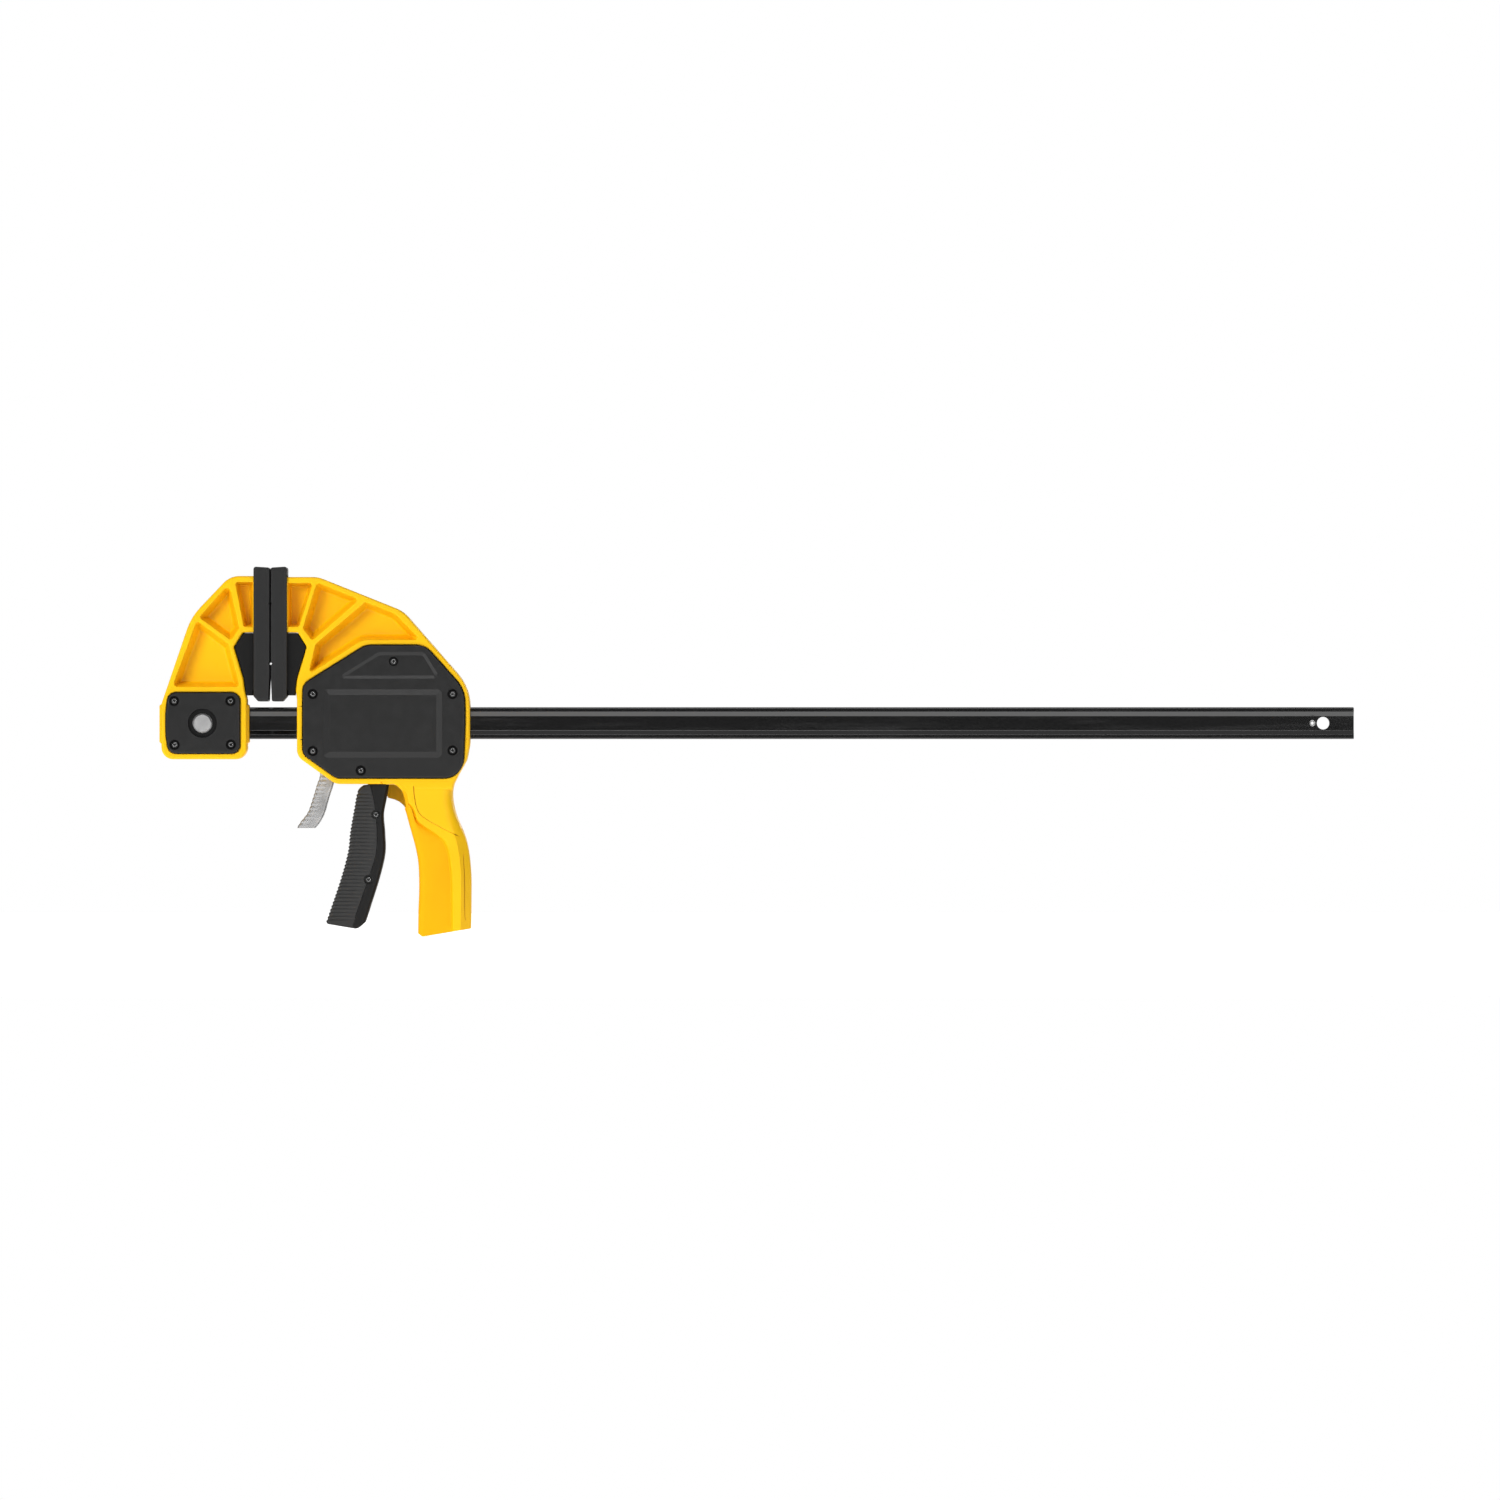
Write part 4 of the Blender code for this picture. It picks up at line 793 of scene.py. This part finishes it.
def paint_cover_shade_and_light(made, places, outer):
    """Painted shade: deep black for the rim and the sunk floors round places (x, z, radius).

    Painted light: the panels' slopes that look up, a raised one's rear slope and a sunk one's
    rear wall are a little lighter. The rounded edge, half way between its levels, isn't a slope.
    """
    edge_middle, edge_reach, flat = 0.125, 0.17, 0.995
    made.data.materials.append(LINER_AND_SHADE_BLACK)
    made.data.materials.append(LIT_SLOPE_BLACK)
    for face in made.data.polygons:
        middle = face.center / MM
        sunk = abs(middle.y) < outer - 0.2
        near = any(hypot(middle.x - x, middle.z - z) < reach for x, z, reach in places)
        off_edge = abs(abs(middle.y) - outer + edge_middle) > edge_reach
        # Painted shade: the rim's sides and the sunk floors near the places get the deep black
        if abs(face.normal.y) < 0.8 or (sunk and near):
            face.material_index = 1
        # Painted light: slopes facing up, a raised panel's rear slope and a sunk one's rear wall
        # get the lighter black
        elif off_edge and abs(face.normal.y) < flat:
            rise = 1 if abs(middle.y) > outer else -1
            if face.normal.z > 0.1 or rise * face.normal.x > 0.1:
                face.material_index = 2


def make_covers():
    """Both jaws' covers on both sides."""
    for side, label in ((FRONT, "front"), (BACK, "back")):
        low, high = (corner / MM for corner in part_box(f"fixed_jaw_{label}_cover"))
        outer = max(-low.y, high.y)
        made = cover_form(f"head_cover_{label}", HEAD_COVER, side, outer)
        places = []
        if side == FRONT:
            cutters = seats("head", HEAD_SCREWS, outer)
            x = centre("release_button")[0]
            cutters.append(stack("ring", circle(x, 0.0, BUTTON_RING, 64),
                                 seat_levels(outer, RING_LIP, RING_DEPTH)[:-1]
                                 + [(-outer + RING_DEPTH, 0.3), (-outer + 2.3, 0.8)]))
            cutters.append(stack("bore", circle(x, 0.0, BUTTON_BORE, 64),
                                 straight(-outer - BEYOND, -outer + HOLE_DEPTH)))
            combine(made, cutters)
            # The sunk floors round these places get painted shade
            places = [(*screw, SEAT_SHADE_REACH) for screw in HEAD_SCREWS] + [(x, 0.0, RING_SHADE_REACH)]
        dress(made, BLACK, "bar_and_fixed_jaw", "black_moulding", f"fixed_jaw_{label}_cover")
        paint_cover_shade_and_light(made, places, outer)

        low, high = (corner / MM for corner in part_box(f"body_{label}_cover"))
        outer = max(-low.y, high.y) - PANEL_RISE
        made = cover_form(f"body_cover_{label}", BODY_COVER, side, outer)
        panel = stack(f"{label}_panel", MAIN_PANEL,
                      panel_levels(side, outer - PANEL_OVERLAP, outer + PANEL_RISE, PANEL_SLOPE))
        combine(made, [panel], "UNION")
        sunk = [(outer - UPPER_DEPTH, 2.6), (outer - 0.65, 2.2), (outer - 0.25, 0.5),
                (outer, 0.0), (outer + BEYOND, -0.3)]
        cutters = [stack(f"{label}_upper", UPPER_PANEL, sided(sunk, side))]
        if side == FRONT:
            cutters += seats("body", BODY_SCREWS, outer)
        combine(made, cutters)
        dress(made, BLACK, "sliding_jaw", "black_moulding", f"body_{label}_cover")
        screws = BODY_SCREWS if side == FRONT else ()
        paint_cover_shade_and_light(made, [(*screw, SEAT_SHADE_REACH) for screw in screws], outer)


# ---------- pads
def make_pads():
    """Rubber pads with a bevelled border, grooved faces, and the liners behind them."""
    for prefix, body, turn in (("fixed_jaw", "bar_and_fixed_jaw", list),
                               ("moving_jaw", "sliding_jaw", mirrored)):
        _, high = (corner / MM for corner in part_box(prefix + "_pad"))
        half = high.y
        levels = [(-half + y, inset) for y, inset in PAD_EDGE]
        levels += [(half - y, inset) for y, inset in reversed(PAD_EDGE)]
        pad = stack(prefix + "_boot", turn(PAD), levels)
        cutters = [stack(prefix + "_hollow", turn(PAD_HOLLOW),
                         straight(-PAD_HOLLOW_HALF, PAD_HOLLOW_HALF))]
        face = turn([(PAD_FACE, 0.0)])[0][0]
        past = half + BEYOND
        inner = half - GROOVE_REACH
        for number, z, ends in ((0, UPPER_GROOVE, ((-past, -inner), (inner, past))),
                                (1, LOWER_GROOVE, ((-past, past),))):
            for near, far in ends:
                cutters.append(stack(f"{prefix}_groove_{number}_{far:.0f}",
                                     circle(face, z, GROOVE_RADIUS, 4), straight(near, far)))
        combine(pad, cutters)
        dress(pad, RUBBER, body, "pad_rubber", prefix + "_pad")
        low, high = (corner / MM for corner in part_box(prefix + "_pad_liner"))
        liner = stack(prefix + "_throat_liner", turn(LINER),
                      edge_round(low.y, high.y, 0.8), -SEAT_SPARE)
        dress(liner, LINER_AND_SHADE_BLACK, body, "black_moulding", prefix + "_pad_liner")


# ---------- trigger and lever
def ribbed_ring(z, front, rear, line, half, turn, ribs, depth, pitch, line_depth):
    """Section of a lever at a height: rounded front and rear, ribs ahead of a line."""
    wave = 0.5 - 0.5 * cos(2 * pi * z / pitch)
    dip = depth * (1 - wave ** 0.7) if ribs else 0.0
    points = [(front + turn * (1 - cos(angle)) + dip * cos(angle),
               half - turn + turn * sin(angle) - dip * sin(angle)) for angle in arc()]
    start = front + turn
    line = max(line, start + 1.3)
    end = line - 0.9
    for n in range(1, 7):
        share = n / 6
        fade = 1.0 if share < 0.6 else (1.0 - share) / 0.4
        points.append((start + (end - start) * share, half - dip * fade))
    for offset, drop in ((-0.4, 0.0), (-0.25, 1.0), (0.25, 1.0), (0.4, 0.0)):
        points.append((line + offset, half - line_depth * drop))
    tail = turn * 0.8
    stop = rear - tail
    first = line + 0.6
    for n in range(4):
        points.append((first + (stop - first) * n / 3, half))
    for angle in arc()[1:]:
        points.append((stop + tail * sin(angle), half - tail * (1 - cos(angle))))
    return ([(x, -y, z) for x, y in points] + [(x, y, z) for x, y in reversed(points)])


def make_trigger():
    """Two grip shells over the steel core, ribbed ahead of the incised line."""
    low, _ = (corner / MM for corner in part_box("trigger_front_grip"))
    half = -low.y
    for side, label in ((FRONT, "front"), (BACK, "back")):
        rings = []
        for n in range(TRIGGER_RINGS + 1):
            z = TRIGGER_TOP - TRIGGER_LENGTH * n / TRIGGER_RINGS
            rings.append(ribbed_ring(z, curve_at(TRIGGER_FRONT, z), curve_at(TRIGGER_REAR, z),
                                     curve_at(TRIGGER_LINE, z), half, turn=3.4,
                                     ribs=TRIGGER_RIBS_LOW < z < TRIGGER_RIBS_TOP,
                                     depth=0.65, pitch=2.55,
                                     line_depth=0.9 if z > TRIGGER_LINE_END else 0.0))
        shell = solid(f"grip_{label}", rings)
        form = stack("trigger_form", TRIGGER_FOOT, edge_round(-half - 0.2, half + 0.2, 1.4))
        combine(shell, [form], "INTERSECT")
        split = sorted((-side * (half + BEYOND), side * 0.15))
        cutters = [box("split", (100.0, 175.0), split, (-150.0, -20.0)),
                   stack("core_way", CORE, straight(-CORE_HALF, CORE_HALF), SEAT_SPARE)]
        if side == FRONT:
            for number, (x, z) in enumerate(TRIGGER_SCREWS):
                cutters.append(stack(f"grip_seat_{number}", circle(x, z, GRIP_SEAT, 40),
                                     seat_levels(half, GRIP_LIP, GRIP_DEPTH)))
                cutters.append(stack(f"grip_hole_{number}", circle(x, z, GRIP_WAY, 20),
                                     straight(-half - BEYOND, 0.0)))
        combine(shell, cutters)
        dress(shell, GRIP, "trigger", "black_moulding", f"trigger_{label}_grip", sharp=50,
              weighted=False)
        shell.data.materials.append(LINER_AND_SHADE_BLACK)
        shell.data.materials.append(BAND)
        for face in shell.data.polygons:
            middle = face.center / MM
            # Painted shade: faces turned to the rear or down get the deep black
            if face.normal.x > 0.45 or face.normal.z < -0.6:
                face.material_index = 1
            elif middle.x > curve_at(TRIGGER_LINE, middle.z):
                face.material_index = 2


def make_lever():
    """Cast release lever, ribbed across its front."""
    low, high = (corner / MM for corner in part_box("release_lever"))
    rings = []
    for n in range(LEVER_RINGS + 1):
        z = high.z - 0.5 + (low.z - high.z + 0.5) * n / LEVER_RINGS
        front = curve_at(LEVER_FRONT, z)
        rear = curve_at(LEVER_REAR, z)
        rings.append(ribbed_ring(z, front, rear, front + (rear - front) * LEVER_LINE_SHARE,
                                 high.y, turn=2.4, ribs=z < LEVER_RIBS_TOP, depth=0.3,
                                 pitch=3.0, line_depth=0.0))
    lever = solid("lever_casting", rings)
    eye = stack("lever_bore", circle(*centre("lever_pivot_pin"), LEVER_BORE, 32),
                straight(-9.0, 9.0))
    combine(lever, [eye])
    dress(lever, ZINC, "lever", "cast_metal", "release_lever", sharp=50, weighted=False)


# ---------- screws and the CAD nodes that show
def star(x, z, outer, inner):
    """Six-lobed drive outline."""
    count = LOBES * 6
    middle = (outer + inner) / 2
    swing = (outer - inner) / 2
    run = []
    for n in range(count):
        reach = middle + swing * cos(LOBES * 2 * pi * n / count)
        angle = 2 * pi * n / count
        run.append(Vector((x + reach * cos(angle), z + reach * sin(angle))))
    return run


def make_screw(name, node, x, z, body):
    """Pan-head screw with a six-lobed drive."""
    low, high = (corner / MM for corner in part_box(node))
    head = low.y
    levels = [(head, 1.2), (head + 0.12, 0.55), (head + 0.35, 0.15), (head + 0.6, 0.0),
              (head + 1.1, 0.0), (head + 1.12, 1.0), (high.y - 0.8, 1.0), (high.y, 1.9)]
    screw = stack(name, circle(x, z, SCREW_HEAD, 36), levels)
    drive = stack(name + "_drive", star(x, z, DRIVE_OUTER, DRIVE_INNER),
                  [(head - BEYOND, -0.05), (head + 0.9, 0.0)])
    combine(screw, [drive])
    dress(screw, SCREW_BLACK, body, "screw", node)


def make_screws():
    """Every screw."""
    groups = (("head_screw", "fixed_jaw_screw", HEAD_SCREWS, "bar_and_fixed_jaw"),
              ("cover_screw", "body_screw", BODY_SCREWS, "sliding_jaw"),
              ("grip_screw", "trigger_screw", TRIGGER_SCREWS, "trigger"))
    for name, node, places, body in groups:
        for number, (x, z) in enumerate(places, 1):
            make_screw(f"{name}_{number}", f"{node}_{number}", x, z, body)


def paint_nodes():
    """Materials of the CAD nodes that show as they are."""
    looks = {"release_button": BUTTON_STEEL, "button_spring": SPRING_STEEL,
             "bar_stop_pin": PIN_STEEL, "trigger_pivot_pin": PIN_STEEL,
             "lever_pivot_pin": PIN_STEEL, "drive_spring": SPRING_STEEL,
             "brake_spring": SPRING_STEEL, "drive_plate_1": PLATE_STEEL,
             "drive_plate_2": PLATE_STEEL, "brake_plate": PLATE_STEEL,
             "trigger_lever": CORE_STEEL, "front_bar_guide": LINER_AND_SHADE_BLACK,
             "rear_bar_guide": LINER_AND_SHADE_BLACK}
    for node, look in looks.items():
        shown = frame["nodes"][node]
        shown.data.materials.clear()
        shown.data.materials.append(look)


# ---------- stage
FLOOR_X, FLOOR_Y, FLOOR_THICKNESS, FLOOR_GAP = (-1500.0, 2400.0), (-1500.0, 1700.0), 20.0, 0.2
VIEW_WIDTH, VIEW_DISTANCE, SENSOR, VIEW_X, VIEW_Z = 1.035, 12.0, 36.0, 0.4071, -0.0185
# Name, place from the clamp's middle, side, power, if it lights, if it shows in gloss
LIGHTS = (("key", (-1.7, -2.3, 0.8), 1.0, 50.0, True, False),
          ("fill", (1.35, -2.5, 0.6), 1.2, 11.0, False, True),
          ("brow", (0.0, -2.5, 1.4), 1.0, 11.0, False, True),
          ("rim", (-2.5, -1.4, 0.5), 1.0, 12.0, False, True),
          ("top", (0.1, -0.6, 2.3), 1.8, 9.0, True, False),
          ("back_key", (1.5, 2.4, 1.0), 1.6, 38.0, True, True))
WHITE = (1.0, 1.0, 1.0, 1.0)


def make_floor():
    """Pale floor just below the clamp."""
    top = cad_box[0].z / MM - FLOOR_GAP
    near, far = FLOOR_Y
    left, right = FLOOR_X
    floor = solid("floor", [[(left, near, z), (right, near, z), (right, far, z), (left, far, z)]
                            for z in (top - FLOOR_THICKNESS, top)])
    pale = Nodes("pale_floor")
    tone = pale.ramp(pale.noise(3.0, 2.0), 0.2, 0.8)
    pale.link(pale.blend(tone, grey(0.9), grey(0.88)), pale.shader.inputs["Base Color"])
    pale.shader.inputs["Roughness"].default_value = 0.9
    pale.shader.inputs["Specular IOR Level"].default_value = 0.0
    pale.shader.inputs["Emission Color"].default_value = WHITE
    pale.shader.inputs["Emission Strength"].default_value = 0.72
    floor.data.materials.append(pale.material)


def make_world():
    """White surroundings that the camera sees, and dimmer ones, darker below, that light."""
    world = bpy.data.worlds.new("studio")
    bpy.context.scene.world = world
    world.use_nodes = True
    tree = world.node_tree
    back = tree.nodes["Background"]
    back.inputs["Color"].default_value = WHITE
    way = tree.nodes.new("ShaderNodeTexCoord")
    split = tree.nodes.new("ShaderNodeSeparateXYZ")
    height = tree.nodes.new("ShaderNodeMapRange")
    for key, value in (("From Min", -0.1), ("From Max", 0.9), ("To Min", 0.05), ("To Max", 0.32)):
        height.inputs[key].default_value = value
    tree.links.new(way.outputs["Generated"], split.inputs["Vector"])
    tree.links.new(split.outputs["Z"], height.inputs["Value"])
    tree.links.new(height.outputs["Result"], back.inputs["Strength"])
    shown = tree.nodes.new("ShaderNodeBackground")
    shown.inputs["Color"].default_value = WHITE
    shown.inputs["Strength"].default_value = 1.0
    path = tree.nodes.new("ShaderNodeLightPath")
    mix = tree.nodes.new("ShaderNodeMixShader")
    tree.links.new(path.outputs["Is Camera Ray"], mix.inputs["Fac"])
    tree.links.new(back.outputs["Background"], mix.inputs[1])
    tree.links.new(shown.outputs["Background"], mix.inputs[2])
    tree.links.new(mix.outputs["Shader"], tree.nodes["World Output"].inputs["Surface"])


def make_lights():
    """Soft square lights aimed at the clamp's middle."""
    low, high = cad_box
    middle = (low + high) / 2
    for name, place, size, power, diffuse, glossy in LIGHTS:
        lamp = bpy.data.lights.new(name, "AREA")
        lamp.shape = "SQUARE"
        lamp.size = size
        lamp.energy = power
        made = bpy.data.objects.new(name, lamp)
        made.location = middle + Vector(place)
        aim = middle - made.location
        made.rotation_euler = aim.to_track_quat("-Z", "Y").to_euler()
        made.visible_diffuse = diffuse
        made.visible_glossy = glossy
        bpy.context.scene.collection.objects.link(made)


def make_camera():
    """Long lens square on to the front, as the photograph stands."""
    lens = bpy.data.cameras.new("camera")
    lens.sensor_width = SENSOR
    lens.lens = SENSOR * VIEW_DISTANCE / VIEW_WIDTH
    lens.clip_end = 60.0
    camera = bpy.data.objects.new("camera", lens)
    camera.location = (VIEW_X, -VIEW_DISTANCE, VIEW_Z)
    camera.rotation_euler = (pi / 2, 0.0, 0.0)
    bpy.context.scene.collection.objects.link(camera)
    bpy.context.scene.camera = camera
    bpy.context.scene.view_settings.view_transform = "Standard"


make_bar()
make_fixed_jaw()
make_body()
make_covers()
make_pads()
make_trigger()
make_lever()
make_screws()
paint_nodes()
make_floor()
make_world()
make_lights()
make_camera()
